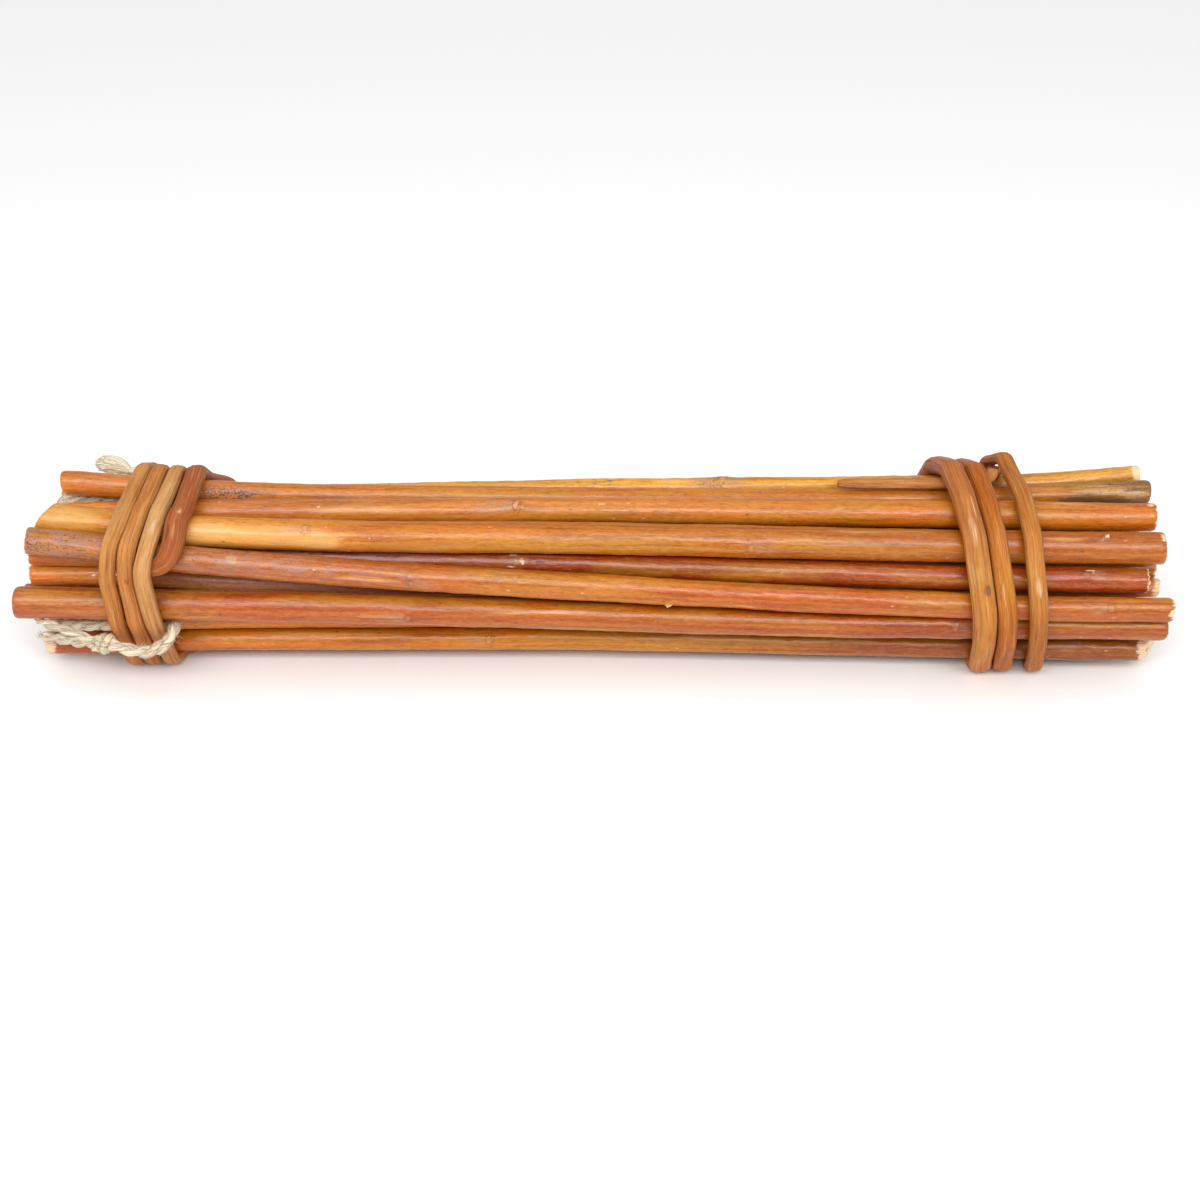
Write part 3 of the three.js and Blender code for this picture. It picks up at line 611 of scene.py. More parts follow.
def mark_shapes(marks, x, turn, radius):
    """What a twig's marks do: the lift of its surface, the paint on it and the way to the nearest eye."""
    lift = np.zeros(x.shape)
    paint = np.zeros((*x.shape, 4))
    eyes = np.full((*x.shape, 3), NO_EYE)
    nearest = np.full(x.shape, 1e9)
    for index, (kind, at, angle, long, wide, strength) in enumerate(marks):
        away = wrap(turn - math.radians(angle)) * radius
        dx, dt = (x - at) / long, away / wide
        rho = np.hypot(dx, dt)
        spot = np.exp(-(rho**2))
        patch = np.exp(-(rho**4))
        if kind == "eye":
            lift += strength * (0.3 * np.exp(-((x - at) ** 2 + away**2) / 1.6)
                                + 0.1 * np.exp(-(((x - at) / 3.5) ** 2)))
            facing = 1 if index % 2 == 0 else -1
            closer = np.abs(x - at) < nearest
            nearest = np.where(closer, np.abs(x - at), nearest)
            here = np.stack([facing * (x - at), away, np.full(x.shape, float(strength))], axis=-1)
            eyes = np.where(closer[..., None], here, eyes)
        elif kind == "nub":
            lift += strength * 1.1 * patch
            paint[..., 0] += 0.7 * patch
            paint[..., 1] += 0.6 * np.exp(-(((rho - 1.5) / 0.4) ** 2))
        elif kind == "wood":
            lift -= 0.1 * strength * patch
            paint[..., 0] += strength * patch
        elif kind == "scar":
            lift -= 0.08 * strength * spot
            paint[..., 1] += strength * spot
        elif kind == "mottle":
            paint[..., 2] += strength * patch
        else:
            paint[..., 3] += strength * patch
    return lift, paint, eyes


def build_twig(node, slot, material, look, sides, step, seed):
    random = np.random.default_rng(seed)
    stations = centre_line(node)
    left, right = stations[0, 0], stations[-1, 0]
    edge = [0.0, 0.1, 0.28, 0.6, 1.1]
    inner = np.linspace(left + 1.8, right - 1.8, max(int((right - left) / step), 8))
    xs = np.concatenate([left + np.array(edge), inner, right - np.array(edge[::-1])])
    turns = turns_round(sides)
    x, turn = np.meshgrid(xs, turns, indexing="ij")
    line = smooth_curve(stations, xs)
    radius = line[:, 2][:, None] * np.ones_like(x)

    lift, paint, eyes = mark_shapes(look["marks"], x, turn, line[:, 2].mean())
    oval = 0.035 * np.cos(2 * turn + random.uniform(0, 6) + x / 70)
    uneven = 0.07 * ripple(random, x, turn, 60, 14) + 0.03 * ripple(random, x, turn, 9, 3.5, 5)
    body = radius * (0.985 + oval) + uneven + lift

    # The cut ends: a softened edge, a leaning plane and a torn rim.
    rounded = look.get("rounded", (0.2, 0.2))
    torn = look.get("torn", (0.4, 0.4))
    leans = look.get("lean", [random.uniform(-0.12, 0.12, 2), random.uniform(-0.12, 0.12, 2)])
    shift = np.zeros_like(x)
    for side, end, sign in ((0, left, 1), (1, right, -1)):
        near = sign * (x - end)
        body -= rounded[side] * np.clip(1 - near / (0.3 + 2 * rounded[side]), 0, 1) ** 2
        plane = leans[side][0] * np.sin(turn) + leans[side][1] * np.cos(turn)
        reach = 6.0 + 6.0 * np.hypot(*leans[side])
        jag = torn[side] * 0.35 * np.abs(ripple(random, 0 * x, 3 * turn, 9, 3, 7, 9))
        low = leans[side][0] * np.sin(turns) + leans[side][1] * np.cos(turns)
        cut = sign * (plane - low.min()) * radius + sign * jag * np.clip(1 - near / 1.5, 0, 1)
        shift += cut * np.clip(1 - near / reach, 0, 1)
        rim = np.clip(1 - near / (0.5 + torn[side] * 0.9), 0, 1)
        paint[..., 0] = np.maximum(paint[..., 0], rim * (0.36 + 0.3 * torn[side]))
    x = x + shift

    out = np.cos(turn)[..., None] * FACE_OUT + np.sin(turn)[..., None] * FACE_UP
    centre = np.stack([np.zeros_like(x), line[:, 0][:, None] + 0 * x, line[:, 1][:, None] + 0 * x], axis=-1)
    skin = centre + body[..., None] * out
    skin[..., 0] = x
    rings = len(xs)

    tone = tones_at(look["tone"], x)
    offset = random.uniform(-400, 400, 3)
    grain = np.stack([x, body * np.cos(turn), body * np.sin(turn)], axis=-1) + offset

    shrink = [0.86, 0.62, 0.36, 0.16]
    points, faces = [skin.reshape(-1, 3)], [ring_faces(rings, sides)]
    grains, tones, marks = [grain.reshape(-1, 3)], [tone.reshape(-1, 3)], [paint.reshape(-1, 4)]
    away = np.full((len(shrink) * 2 * sides, 3), NO_EYE)
    count = rings * sides
    for side, ring, sign in ((0, 0, -1), (1, rings - 1, 1)):
        first = ring * sides
        hub = skin[ring].mean(0)
        mean_radius = body[ring].mean()
        for share in shrink:
            level = hub + (skin[ring] - hub) * share
            flute = random.normal(0, 0.035, sides) + 0.1 * np.cos(3 * turns + side)
            level[:, 0] += sign * (0.18 * (1 - share**2) + flute * (1 - share))
            if share < 0.2:
                level[:, 0] -= sign * 0.25
            points.append(level)
            spot = np.stack([0 * turns + share, share * mean_radius * np.cos(turns),
                             share * mean_radius * np.sin(turns)], axis=-1)
            grains.append(spot * np.array([8.0, 1, 1]) + offset)
            tones.append(np.broadcast_to(tone[ring], (sides, 3)))
            cut = np.zeros((sides, 4))
            cut[:, 0] = 1.0
            cut[:, 1] = 0.75 if share < 0.2 else 0.0
            marks.append(cut)
            faces.append(end_faces(first, count, sides, sign))
            first = count
            count += sides
        faces.append([list(range(first, first + sides))[::-sign]])
    all_faces = [list(f) for block in faces for f in block]
    make_piece(node, material, np.concatenate(points), all_faces, np.concatenate(grains),
               np.concatenate(tones), np.concatenate(marks), np.concatenate([eyes.reshape(-1, 3), away]))


def end_faces(outer, inner, sides, sign):
    j = np.arange(sides)
    k = (j + 1) % sides
    quad = np.stack([outer + j, inner + j, inner + k, outer + k], axis=-1)
    return quad if sign < 0 else quad[:, ::-1]


# The marks of a hidden twig: kind, range of their number, range of x, then a number or a range for the
# half length, the half width and the strength.
HIDDEN_MARKS = [
    ("eye", (2, 5), (-95, 100), 1, 1, (0.6, 1.0)),
    ("scar", (3, 7), (-105, 105), (0.8, 2.5), (0.3, 0.7), (0.5, 0.9)),
    ("pale", (2, 5), (-100, 105), (4, 20), (0.6, 1.6), (0.6, 0.95)),
    ("wood", (0, 3), (-100, 105), (0.6, 2.5), (0.3, 0.6), (0.6, 0.9)),
    ("mottle", None, (-110, 110), (10, 30), 5, (0.2, 0.9)),
]


def drawn(random, value):
    return random.uniform(*value) if isinstance(value, tuple) else value


def hidden_look(base, random):
    shades = []
    for _ in range(3):
        shade_at = np.array(base) * random.uniform(0.92, 1.06) + random.uniform(-6, 6, 3)
        shades.append(np.clip(shade_at, 0, 255))
    marks = []
    for kind, many, reach, *sizes in HIDDEN_MARKS:
        for _ in range(random.integers(*many) if many else 1):
            place = [random.uniform(*reach), random.uniform(0, 360)]
            marks.append([kind, *place, *[drawn(random, size) for size in sizes]])
    return {"tone": list(zip((-110, 0, 110), shades)), "marks": marks, "torn": random.uniform(0.2, 1.3, 2)}


# Each bark's gloss, share of dark lenticels and redness, and its display colour on the hidden twigs.
BARKS = {
    "honey": (0.2, 0.14, (0.95, 0.85, 0.6), HONEY), "orange": (0.2, 0.16, (0.93, 0.82, 0.6), ORANGE),
    "russet": (0.2, 0.16, (0.95, 0.84, 0.68), RUSSET), "dark": (0.19, 0.16, (0.92, 0.86, 0.7), DARK),
}
NEAR_BARKS = {
    "crest": "honey", "top": "orange", "upper": "orange", "amber": "honey", "dark": "dark",
    "crossing": "russet", "tucked": "russet", "sliver": "dark", "russet": "russet", "bottom": "orange",
}
HIDDEN_BARKS = ["orange", "russet", "honey", "orange", "dark"]
# Sides and ring spacing in millimetres of a near, a far and an inner twig.
NEAR_MESH, BACK_MESH, INNER_MESH = (44, 0.75), (32, 1.4), (24, 4.0)


def build_twigs():
    materials = {bark: bark_material(bark + " bark", *row[:3]) for bark, row in BARKS.items()}
    for index, (name, look) in enumerate(TWIG_LOOKS.items()):
        bark = NEAR_BARKS[name]
        build_twig("twig_" + name, "bark_" + bark, materials[bark], look, *NEAR_MESH, 100 + index)
    random = np.random.default_rng(31)
    rings = (("back", 9), ("inner", 7), ("core", 3))
    names = [f"{ring}_{i + 1}" for ring, count in rings for i in range(count)]
    for index, name in enumerate(names):
        bark = HIDDEN_BARKS[index % len(HIDDEN_BARKS)]
        look = hidden_look(BARKS[bark][3], random)
        mesh = BACK_MESH if name.startswith("back") else INNER_MESH
        build_twig("twig_" + name, "bark_" + bark, materials[bark], look, *mesh, 200 + index)


# ---- withies

# lead: the part that lies along the twigs, as [x, u, v, half width, half thickness]. knots: the wound
# part, as [turn, x, half width, half thickness]. under: what it passes over, as [from x, to x, u, v,
# radius, from turn, to turn]. tone: colours by turn. marks: [kind, turn, across, half length, half width,
# strength].
LEFT_WITHY = {
    "lead": [],
    "knots": [
        [-5.2, -91, 1.3, 1.1], [-5, -88, 1.5, 1.25], [-4, -85.4, 1.8, 1.45], [0.5, -83.4, 2.1, 1.6],
        [8, -82.5, 2.2, 1.6], [20, -82.2, 2.25, 1.6], [28, -81.4, 2.1, 1.6], [50, -81, 2.05, 1.5],
        [90, -80.5, 2.05, 1.3], [125, -77.5, 2, 1.55], [180, -79.5, 1.9, 1.5], [235, -84.6, 1.8, 1.45],
        [275, -87.4, 1.7, 1.25], [315, -87.8, 1.7, 1.36], [336, -88.2, 1.7, 1.38], [349, -88.4, 1.7, 1.38],
        [360, -87.8, 1.68, 1.38], [396, -85.6, 1.68, 1.38], [450, -84.8, 1.66, 1.2],
        [540, -86.8, 1.66, 1.36], [595, -90.2, 1.66, 1.36], [635, -91.4, 1.66, 1.2],
        [675, -91.4, 1.66, 1.36], [696, -91.8, 1.66, 1.36], [709, -92.1, 1.66, 1.36],
        [720, -91.6, 1.66, 1.36], [756, -89.2, 1.66, 1.36], [810, -88.4, 1.64, 1.2], [900, -91, 1.62, 1.35],
        [955, -94, 1.62, 1.35], [995, -95, 1.62, 1.2], [1035, -95.2, 1.6, 1.35], [1056, -95.6, 1.6, 1.35],
        [1069, -95.9, 1.6, 1.35], [1080, -95.2, 1.6, 1.35], [1116, -92.6, 1.6, 1.35],
        [1170, -91.4, 1.58, 1.25], [1205, -93.8, 1.55, 1.3], [1232, -95.6, 1.5, 1.25],
        [1243, -93.6, 1.45, 1.2], [1246, -90, 1.35, 1.15], [1247, -86.5, 1.2, 1.05],
    ],
    "under": [
        [-98, -90.5, 16.4, 2.4, 1.2, 0, 2000], [-91.4, -86.5, -1.8, 20.9, 1.25, 200, 500],
        [-94.2, -86, 5.1, -19, 1.25, 200, 1150],
    ],
    "tone": [(-9, (180, 104, 60)), (60, (188, 110, 66)), (130, (194, 120, 72)), (250, (198, 128, 72)),
             (330, (218, 160, 100)), (400, (228, 174, 116)), (560, (204, 136, 74)), (670, (206, 128, 66)),
             (730, (214, 146, 84)), (800, (214, 146, 82)), (1000, (206, 134, 66)), (1050, (204, 130, 64)),
             (1090, (224, 164, 98)), (1247, (198, 130, 72))],
    "marks": [
        ["wood", 24, 0.1, 0.5, 0.3, 0.8], ["wood", 27, -0.2, 0.3, 0.5, 0.7],
        ["scar", 709, 0.3, 0.7, 0.6, 0.5], ["wood", 1010, 0.5, 3, 0.4, 0.6],
        ["wood", 375, 0.3, 2.4, 0.5, 0.6], ["scar", 12, -0.9, 2.2, 0.4, 0.6],
    ],
}

RIGHT_WITHY = {
    "lead": [
        [50, 15.7, 6, 1.2, 1.1], [64, 15.7, 6, 1.2, 1.1], [74, 15.7, 6, 1.2, 1.1], [78.6, 15.8, 6.1, 1.2, 1],
        [80.9, 16.7, 6.4, 1.25, 0.85], [82, 18.2, 5.7, 1.3, 0.75],
    ],
    "knots": [
        [80, 82.6, 1.35, 0.75], [92, 83.4, 1.4, 0.75], [105, 85, 1.45, 0.85], [125, 88, 1.5, 1.1],
        [150, 90.4, 1.55, 1.3], [180, 91.8, 1.65, 1.4], [235, 92, 1.8, 1.45], [275, 91, 1.8, 1.15],
        [286, 90.4, 1.8, 1.2], [306, 89.5, 1.8, 1.4], [328, 88.4, 1.82, 1.45], [352, 87.6, 1.82, 1.5],
        [378, 86.9, 1.82, 1.5], [407, 86.2, 1.85, 1.45], [430, 85, 1.8, 1.2], [450, 83.9, 1.75, 1.05],
        [475, 82.2, 1.75, 1.05], [500, 82.2, 1.85, 1.3], [540, 82.6, 1.9, 1.5], [595, 84.3, 1.95, 1.5],
        [635, 84.6, 1.95, 1.2], [646, 84, 1.95, 1.25], [666, 83.2, 1.95, 1.45], [688, 82.2, 1.95, 1.5],
        [712, 80.9, 1.95, 1.55], [738, 79.7, 1.95, 1.55], [767, 78.7, 1.98, 1.55], [810, 77.2, 2, 1.6],
        [840, 75.8, 2.05, 1.65], [900, 77, 2.1, 1.7], [955, 79.4, 2.2, 1.7], [995, 79.9, 2.25, 1.35],
        [1006, 79.3, 2.25, 1.4], [1026, 78.6, 2.3, 1.65], [1048, 77.6, 2.35, 1.75], [1072, 76.3, 2.35, 1.85],
        [1098, 75.1, 2.35, 1.85], [1127, 74, 2.4, 1.85], [1150, 73, 2.4, 1.85], [1170, 72.2, 2.4, 1.85],
        [1200, 70.8, 2.4, 1.85], [1228, 71.4, 2.3, 1.8], [1241, 74.5, 2.2, 1.75], [1244, 78, 2.1, 1.7],
        [1245, 81.5, 1.9, 1.6], [1246, 85, 1.6, 1.4],
    ],
    "under": [
        [48, 83, 15.7, 6, 1.2, 200, 2000], [79, 88, 19.3, 3, 0.8, 395, 525],
        [79, 88, 19.3, -3, 0.8, 395, 525], [74.5, 85.5, 5.2, -19.4, 1.75, 200, 1150],
    ],
    "tone": [(79, (214, 148, 88)), (120, (196, 118, 60)), (320, (192, 118, 54)), (350, (212, 146, 76)),
             (400, (204, 132, 64)), (560, (196, 120, 56)), (680, (198, 118, 44)), (715, (210, 138, 60)),
             (760, (198, 118, 48)), (1000, (212, 138, 64)), (1070, (214, 150, 80)), (1110, (206, 130, 70)),
             (1180, (192, 112, 62)), (1246, (200, 126, 64))],
    "marks": [
        ["wood", 344, 0, 2.4, 0.6, 0.65], ["scar", 1062, 0.6, 1.2, 0.7, 0.7],
        # The wood mark at turn 1096 is a painted highlight: a pale streak where the strand catches the light,
        # drawn with the bare-wood paint.
        ["wood", 1096, -0.2, 4, 0.4, 0.8], ["scar", 738, 0.4, 0.5, 0.4, 0.4],
        ["wood", 1110, 0.6, 3, 0.3, 0.7], ["wood", 700, -0.4, 3, 0.4, 0.5],
    ],
}


WITHY_SIDES, WITHY_STEP, BOXED = 36, 0.55, 0.86


def face_lines():
    """Every CAD twig as rows of x, u, v and radius in face coordinates."""
    lines = []
    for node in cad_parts:
        if node.startswith("twig"):
            rows = centre_line(node)
            place = rows[:, :3] - AXIS
            lines.append(np.column_stack([place[:, 0], place @ FACE_UP, place @ FACE_OUT, rows[:, 3]]))
    return lines


def tight_reach(lines, under, x, turn, clear):
    """How far a strand stands from the axis where it is drawn tight round the twigs at x."""
    discs = [[np.interp(x, rows[:, 0], rows[:, i]) for i in (1, 2, 3)] for rows in lines]
    discs += [held[2:5] for held in under if held[0] < x < held[1] and held[5] < turn < held[6]]
    u, v, r = np.array(discs).T
    normals = turns_round(180)
    facing = np.cos(normals - math.radians(turn))
    edges = (v[:, None] * np.cos(normals) + u[:, None] * np.sin(normals) + r[:, None]).max(0)
    seen = facing > 0.1
    return ((edges[seen] + clear) / facing[seen]).min()


def withy_path(withy, lines):
    """Rows of x, y, z, half width, half thickness and turn along a withy."""
    knots = np.array(withy["knots"], float)
    turned = np.radians(np.diff(knots[:, 0])) * 20
    far = np.concatenate([[0], np.cumsum(np.hypot(turned, np.diff(knots[:, 1])))])
    at = np.linspace(0, far[-1], int(far[-1] / 0.8))
    rows = smooth_curve(np.column_stack([far, knots]), at)
    reach = [tight_reach(lines, withy["under"], x, turn, thick + 0.2) for turn, x, _, thick in rows]
    angle = np.radians(rows[:, 0])
    place = from_face(rows[:, 1], reach * np.sin(angle), reach * np.cos(angle))
    path = np.column_stack([place, rows[:, 2], rows[:, 3], rows[:, 0]])
    if withy["lead"]:
        lead = np.array(withy["lead"], float)
        start = np.column_stack([from_face(lead[:, 0], lead[:, 1], lead[:, 2]), lead[:, 3:5],
                                 np.full(len(lead), knots[0, 0])])
        path = np.vstack([start, path])
    far = steps_along(path[:, :3])
    keep = np.concatenate([[True], np.diff(far) > 1e-6])
    return smooth_curve(np.column_stack([far[keep], path[keep]]), np.arange(0, far[-1], WITHY_STEP))


def build_withy(node, withy, material, lines, seed):
    random = np.random.default_rng(seed)
    sides = WITHY_SIDES
    path = withy_path(withy, lines)
    far = steps_along(path[:, :3])
    forward = tangents_of(path[:, :3])
    outward = path[:, :3] - AXIS
    outward[:, 0] = 0
    outward = unit(outward - (outward * forward).sum(1, keepdims=True) * forward)
    across = np.cross(outward, forward)
    turns = turns_round(sides)
    s, turn = np.meshgrid(far, turns, indexing="ij")

    # Shrunken fibres stand as ridges along the strand, and each end is pared down.
    ridges = np.zeros_like(s)
    for n in (5, 7, 9, 12, 15):
        phase = n * turn + random.uniform(0, 6)
        ridges += np.cos(phase + s / random.uniform(14, 40) * random.choice([-1, 1]))
    uneven = 0.05 * ripple(random, s, turn, 40, 8) + 0.022 * ridges
    pared = 1 - 0.45 * np.exp(-s / 1.2) - 0.45 * np.exp(-(far[-1] - s) / 1.2)
    wide = path[:, 3][:, None] * pared + uneven
    thick = path[:, 4][:, None] * pared + uneven
    # A slightly boxed oval, flattened against the twigs.
    cos, sin = np.cos(turn), np.sin(turn)
    cross = np.sign(cos) * np.abs(cos) ** BOXED
    stand = np.sign(sin) * np.abs(sin) ** BOXED
    skin = path[:, None, :3] + (wide * cross)[..., None] * across[:, None]
    skin = skin + (thick * stand)[..., None] * outward[:, None]

    tone = np.broadcast_to(tones_at(withy["tone"], path[:, 5])[:, None], (len(far), sides, 3))
    paint = np.zeros((*s.shape, 4))
    for kind, at, side, long, width, strength in withy["marks"]:
        middle = np.interp(at, path[:, 5], far)
        rho = np.hypot((s - middle) / long, (wrap(turn - math.pi / 2) * 1.7 - side) / width)
        paint[..., {"wood": 0, "scar": 1}[kind]] += strength * np.exp(-(rho**4))
    offset = random.uniform(-300, 300, 3)
    grain = np.stack([s, wide * cos, thick * sin], axis=-1) + offset
    faces = ring_faces(len(far), sides).tolist()
    faces += [list(range(sides))[::-1], list(range((len(far) - 1) * sides, len(far) * sides))]
    make_piece(node, material, skin, faces, grain, tone, paint.reshape(-1, 4))


# ---- twine

# The twine's route as [x, u, v], the same as the CAD's, with the places in it of the brush's neck and of the
# knot. Then the spacing of its points, the points of its smooth curve, the length of its lay, the radius of
# a ply, and how many locks, stray fibres and fibres at each tail's end it has.
TWINE_ROUTE = [
    [-103.5, 20.9, 0.6], [-100.5, 20.3, 0.8], [-97.5, 19.4, 1], [-94.8, 17.9, 1.8], [-92, 15.8, 2.6],
    [-89, 14.7, 2.8], [-86, 14.5, 2.7], [-83, 14.3, 2.4], [-81.6, 13.2, 2], [-82.6, 12, 2.2],
    [-85.6, 11.6, 2.6], [-91, 11.8, 2.8], [-98, 12.7, 3.2], [-106, 12.8, 3.1], [-109.5, 12.2, 2.6],
    [-110.8, 9.5, 1.6], [-111, 4.5, 1], [-111, -1, 0.8], [-111, -6, 0.9], [-111, -10.4, 2],
    [-110.6, -12.6, 4.4], [-108.6, -13.3, 6.6], [-105, -13.2, 7.5], [-98, -13.1, 7.6], [-88.5, -13.1, 7.8],
    [-85.9, -13.2, 9.2], [-84.7, -13.6, 11.6], [-84.6, -14.8, 13.8], [-85.7, -16.9, 14.8],
    [-88, -18.2, 13.8], [-90.8, -18.5, 13.3], [-93.6, -18, 13.5], [-96.1, -17.3, 13.6], [-98.4, -17, 12.4],
    [-101.6, -16.6, 11.2], [-105, -16, 10.6], [-108.5, -14.9, 10.2], [-112.3, -13.5, 9.5],
]
NECK_AT, KNOT_AT = 3, 33
TWINE_STEP = 0.4
FINE = 1200
LAY, STRAND = 7.5, 0.76
LOCKS, STRAYS, END_FIBRES = 230, 900, 34
JUTE = (241, 227, 205)


class Tubes:
    """Many thin tubes gathered into one mesh."""

    def __init__(self):
        self.points, self.faces, self.grain, self.tone = [], [], [], []
        self.count = 0

    def add(self, path, radius, sides, tone, random, ridges=0.0):
        far = steps_along(path)
        side, up = cross_section(path, (0.3, 0.5, 0.81))
        turns = turns_round(sides)
        radius = np.broadcast_to(radius, far.shape)[:, None]
        if ridges:
            phase = random.uniform(0, 6, 3)
            ridge = sum(np.cos(n * turns + phase[i] + far[:, None] * 0.9) for i, n in enumerate((4, 6, 9)))
            radius = radius * (1 + ridges * ridge)
        ring = np.cos(turns)[None, :, None] * side[:, None] + np.sin(turns)[None, :, None] * up[:, None]
        skin = path[:, None] + radius[..., None] * ring
        self.points.append(skin.reshape(-1, 3))
        faces = ring_faces(len(far), sides, self.count).tolist()
        faces.append(list(range(self.count, self.count + sides))[::-1])
        last = self.count + (len(far) - 1) * sides
        faces.append(list(range(last, last + sides)))
        self.faces += faces
        local = np.stack([np.broadcast_to(far[:, None], (len(far), sides)),
                          radius * np.cos(turns), radius * np.sin(turns)], axis=-1)
        self.grain.append(local.reshape(-1, 3) + random.uniform(-200, 200, 3))
        self.tone.append(np.broadcast_to(linear(tone), (len(far) * sides, 3)))
        self.count += len(far) * sides


def plied(path, turns_per_mm, spread, plies, start=0.0):
    """The centre lines of plies twisted round a path."""
    far = steps_along(path)
    side, up = cross_section(path, (0.25, 0.6, 0.76))
    lines = []
    for i in range(plies):
        angle = start + 2 * math.pi * (far * turns_per_mm + i / plies)
        lines.append(path + np.broadcast_to(spread, far.shape)[:, None]
                     * (np.cos(angle)[:, None] * side + np.sin(angle)[:, None] * up))
    return lines


def shade(random, low=0.9, high=1.05):
    return np.clip(np.array(JUTE) * random.uniform(low, high) + random.uniform(-5, 5, 3), 0, 255)


def dress(tubes, line, reach, count, random):
    """Fine fibres that lie along a ply and wander round it."""
    side, up = cross_section(line, (0.3, 0.5, 0.81))
    for _ in range(count):
        long = min(random.integers(10, 20), len(line) - 2)
        first = random.integers(0, len(line) - long)
        part = slice(first, first + long)
        angle = (random.uniform(0, 6.28) + random.normal(0, 0.12) * np.arange(long))[:, None]
        lift = reach + 0.16 * np.sin(np.linspace(0, math.pi, long))[:, None] * random.uniform(-0.3, 1)
        fibre = line[part] + lift * (np.cos(angle) * side[part] + np.sin(angle) * up[part])
        tubes.add(fibre, random.uniform(0.05, 0.11), 3, shade(random, 0.84, 1.12), random)


def hair(random, root, out, length, curl):
    """A loose fibre's centre line."""
    t = np.linspace(0, 1, 7)[:, None]
    bend = unit(random.normal(0, 1, 3)) * curl
    return root + out * length * t + bend * length * t**2 + random.normal(0, 0.03, (7, 3)) * length * t


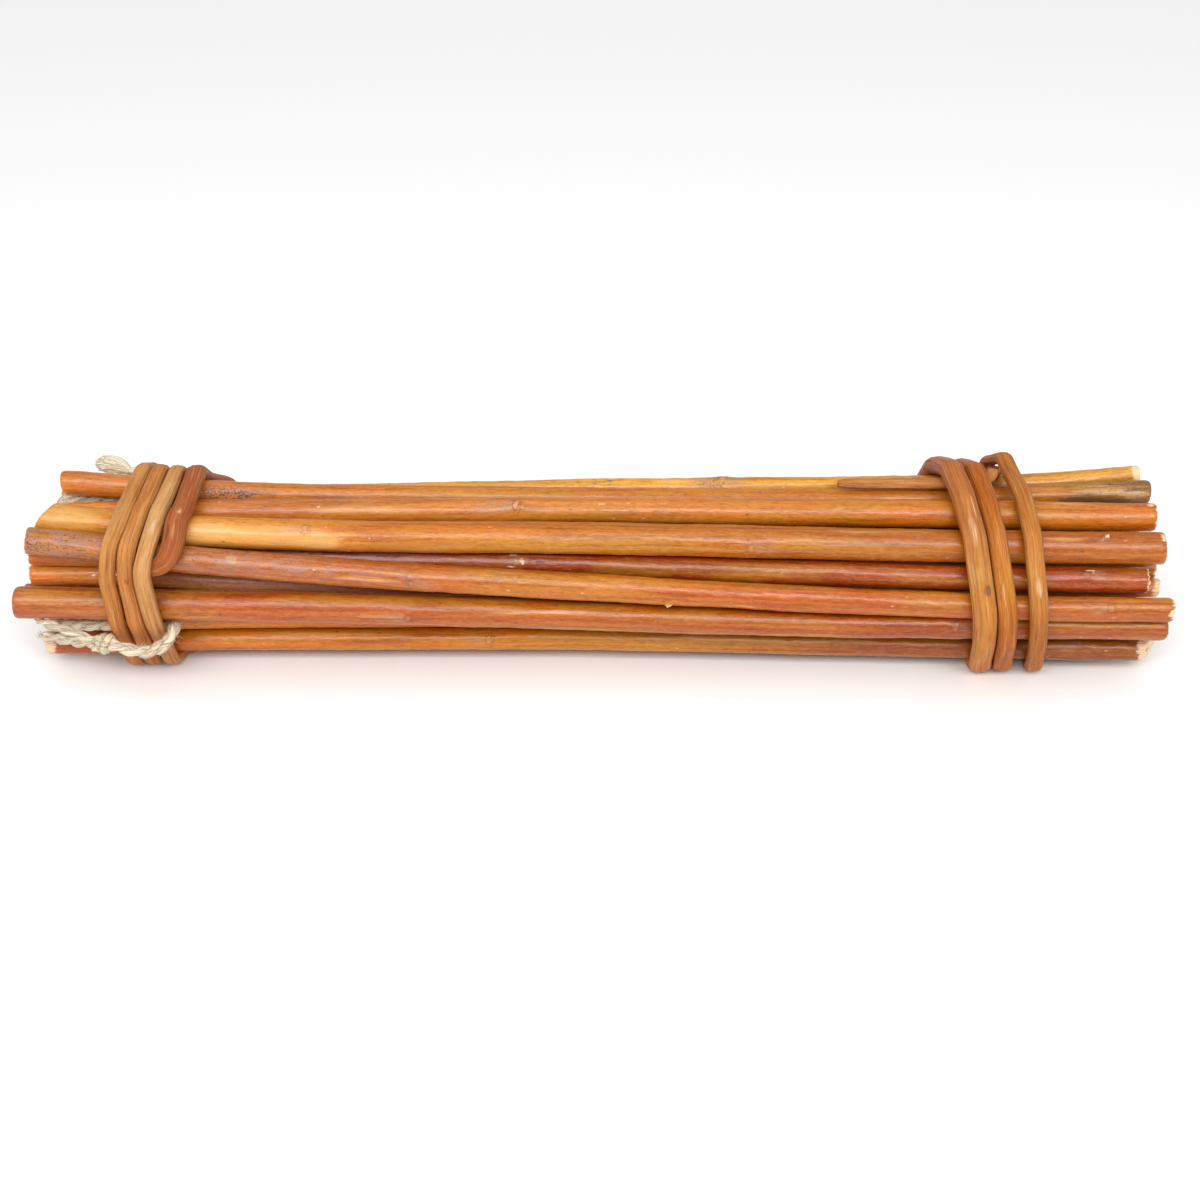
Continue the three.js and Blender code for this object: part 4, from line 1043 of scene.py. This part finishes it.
def build_twine(node, material):
    random = np.random.default_rng(77)
    tubes = Tubes()
    route = np.array(TWINE_ROUTE)
    knots = from_face(route[:, 0], route[:, 1], route[:, 2])
    chord = np.concatenate([[0], np.cumsum(np.linalg.norm(np.diff(knots, axis=0), axis=1) ** 0.5)])
    at = np.linspace(0, chord[-1], FINE)
    fine = smooth_curve(np.column_stack([chord, knots]), at)
    far_knots = np.interp(chord, at, steps_along(fine))
    path, far = resampled(fine, TWINE_STEP)
    neck, knot = far_knots[NECK_AT], far_knots[KNOT_AT]

    # The laid strand, from the neck of the frayed end to the knot.
    laid = path[(far >= neck - 1.5) & (far <= knot + 0.5)]
    for line in plied(laid, 1 / LAY, 0.52, 2):
        tubes.add(line, STRAND, 14, shade(random, 1.0, 1.08), random, 0.05)
        dress(tubes, line, STRAND, 330, random)

    # The overhand knot: a turn and a half wound round the strand.
    middle = point_at(path, far, knot)
    axis = unit(point_at(path, far, knot + 1) - middle)
    side = unit(np.cross(axis, FACE_UP))
    up = np.cross(side, axis)
    t = np.linspace(0, 1, 60)[:, None]
    angle = 2 * math.pi * 1.6 * t + 0.6
    wound = middle + axis * (-1.5 + 3.0 * t) + (np.cos(angle) * side + np.sin(angle) * up) * 1.25
    for line in plied(wound, 1 / 5, 0.42, 2):
        tubes.add(line, 0.66, 12, shade(random, 1.0, 1.1), random, 0.05)
        dress(tubes, line, 0.66, 60, random)

    # The opened tail: two plies that part beyond the knot and end in loose fibres.
    ends = [from_face(-111.9, -12.4, 10.4), from_face(-111.6, -15.4, 9.6)]
    bows = [from_face(-106, -14.6, 11.6), from_face(-106, -16.6, 11.0)]
    for end, bow in zip(ends, bows):
        t = np.linspace(0, 1, 40)[:, None]
        tail = middle * (1 - t) ** 2 + 2 * bow * t * (1 - t) + end * t**2
        for line in plied(tail, 1 / 7, 0.44, 2, random.uniform(0, 6)):
            tubes.add(line, 0.57 * (1 - 0.3 * t[:, 0] ** 5), 12, shade(random, 1.0, 1.1), random, 0.06)
            dress(tubes, line, 0.55, 45, random)
        for _ in range(END_FIBRES):
            out = unit(end - bow + random.normal(0, 1.0, 3))
            start = end - out * 0.6 + random.normal(0, 0.25, 3)
            tubes.add(hair(random, start, out, random.uniform(0.7, 1.9), 0.3), 0.07, 4, shade(random), random)

    # The frayed end: locks that open from the neck into a rounded brush.
    root = from_face(-94.4, 17.6, 1.2)
    bend = from_face(-97.6, 20.2, 0.8)
    tip = from_face(-103.6, 20.2, 0.6)
    for _ in range(LOCKS):
        angle = random.uniform(0, 2 * math.pi)
        spread = math.sqrt(random.uniform(0, 1))
        aside = spread * (math.cos(angle) * FACE_UP + math.sin(angle) * FACE_OUT)
        stop = 0.76 + 0.24 * math.sqrt(1 - spread**2) - random.uniform(0, 0.04)
        t = np.linspace(0, stop, 18)[:, None]
        spine = root * (1 - t) ** 2 + 2 * bend * t * (1 - t) + tip * t**2
        opened = np.clip((t - 0.16) / 0.4, 0, 1)
        widen = 0.42 + 1.45 * opened**2 * (3 - 2 * opened)
        phase, pitch = random.uniform(0, 6), random.uniform(6, 14)
        wave = 0.2 * np.sin(t * pitch + phase) * random.normal(0, 1, 3)
        lock = spine + aside * widen + wave * t
        thin = random.uniform(0.12, 0.32) * (1 - 0.55 * (t[:, 0] / stop) ** 4)
        # The locks take a paler jute colour than the laid strand: painted light that lightens the brush's own
        # shade.
        tubes.add(lock, thin, 5, shade(random, 1.02, 1.14), random, 0.06)

    # Stray fibres all along it.
    forward = tangents_of(path)
    normal = unit(np.cross(forward, random.normal(0, 1, (len(path), 3))))
    first, last = int(neck / TWINE_STEP), int(knot / TWINE_STEP) + 4
    for _ in range(STRAYS):
        k = min(random.integers(first, last), len(path) - 2)
        lean = forward[k] * random.uniform(-1.8, 1.8)
        out = unit(normal[k] * random.choice([-1, 1]) + lean + random.normal(0, 0.25, 3))
        root_at = path[k] + normal[k] * random.choice([-1, 1]) * 0.9
        tubes.add(hair(random, root_at, out, random.uniform(0.4, 1.8), 0.35), 0.035, 3, shade(random), random)
    make_piece(node, material, np.concatenate(tubes.points), tubes.faces,
               np.concatenate(tubes.grain), np.concatenate(tubes.tone))


# ---- the scene


add_camera()
build_twine("twine", jute_material("jute"))
build_twigs()
WITHY = withy_material("withy")
LINES = face_lines()
build_withy("withy_left", LEFT_WITHY, WITHY, LINES, 11)
build_withy("withy_right", RIGHT_WITHY, WITHY, LINES, 12)
add_floor()
add_studio()

bpy.context.view_layer.update()
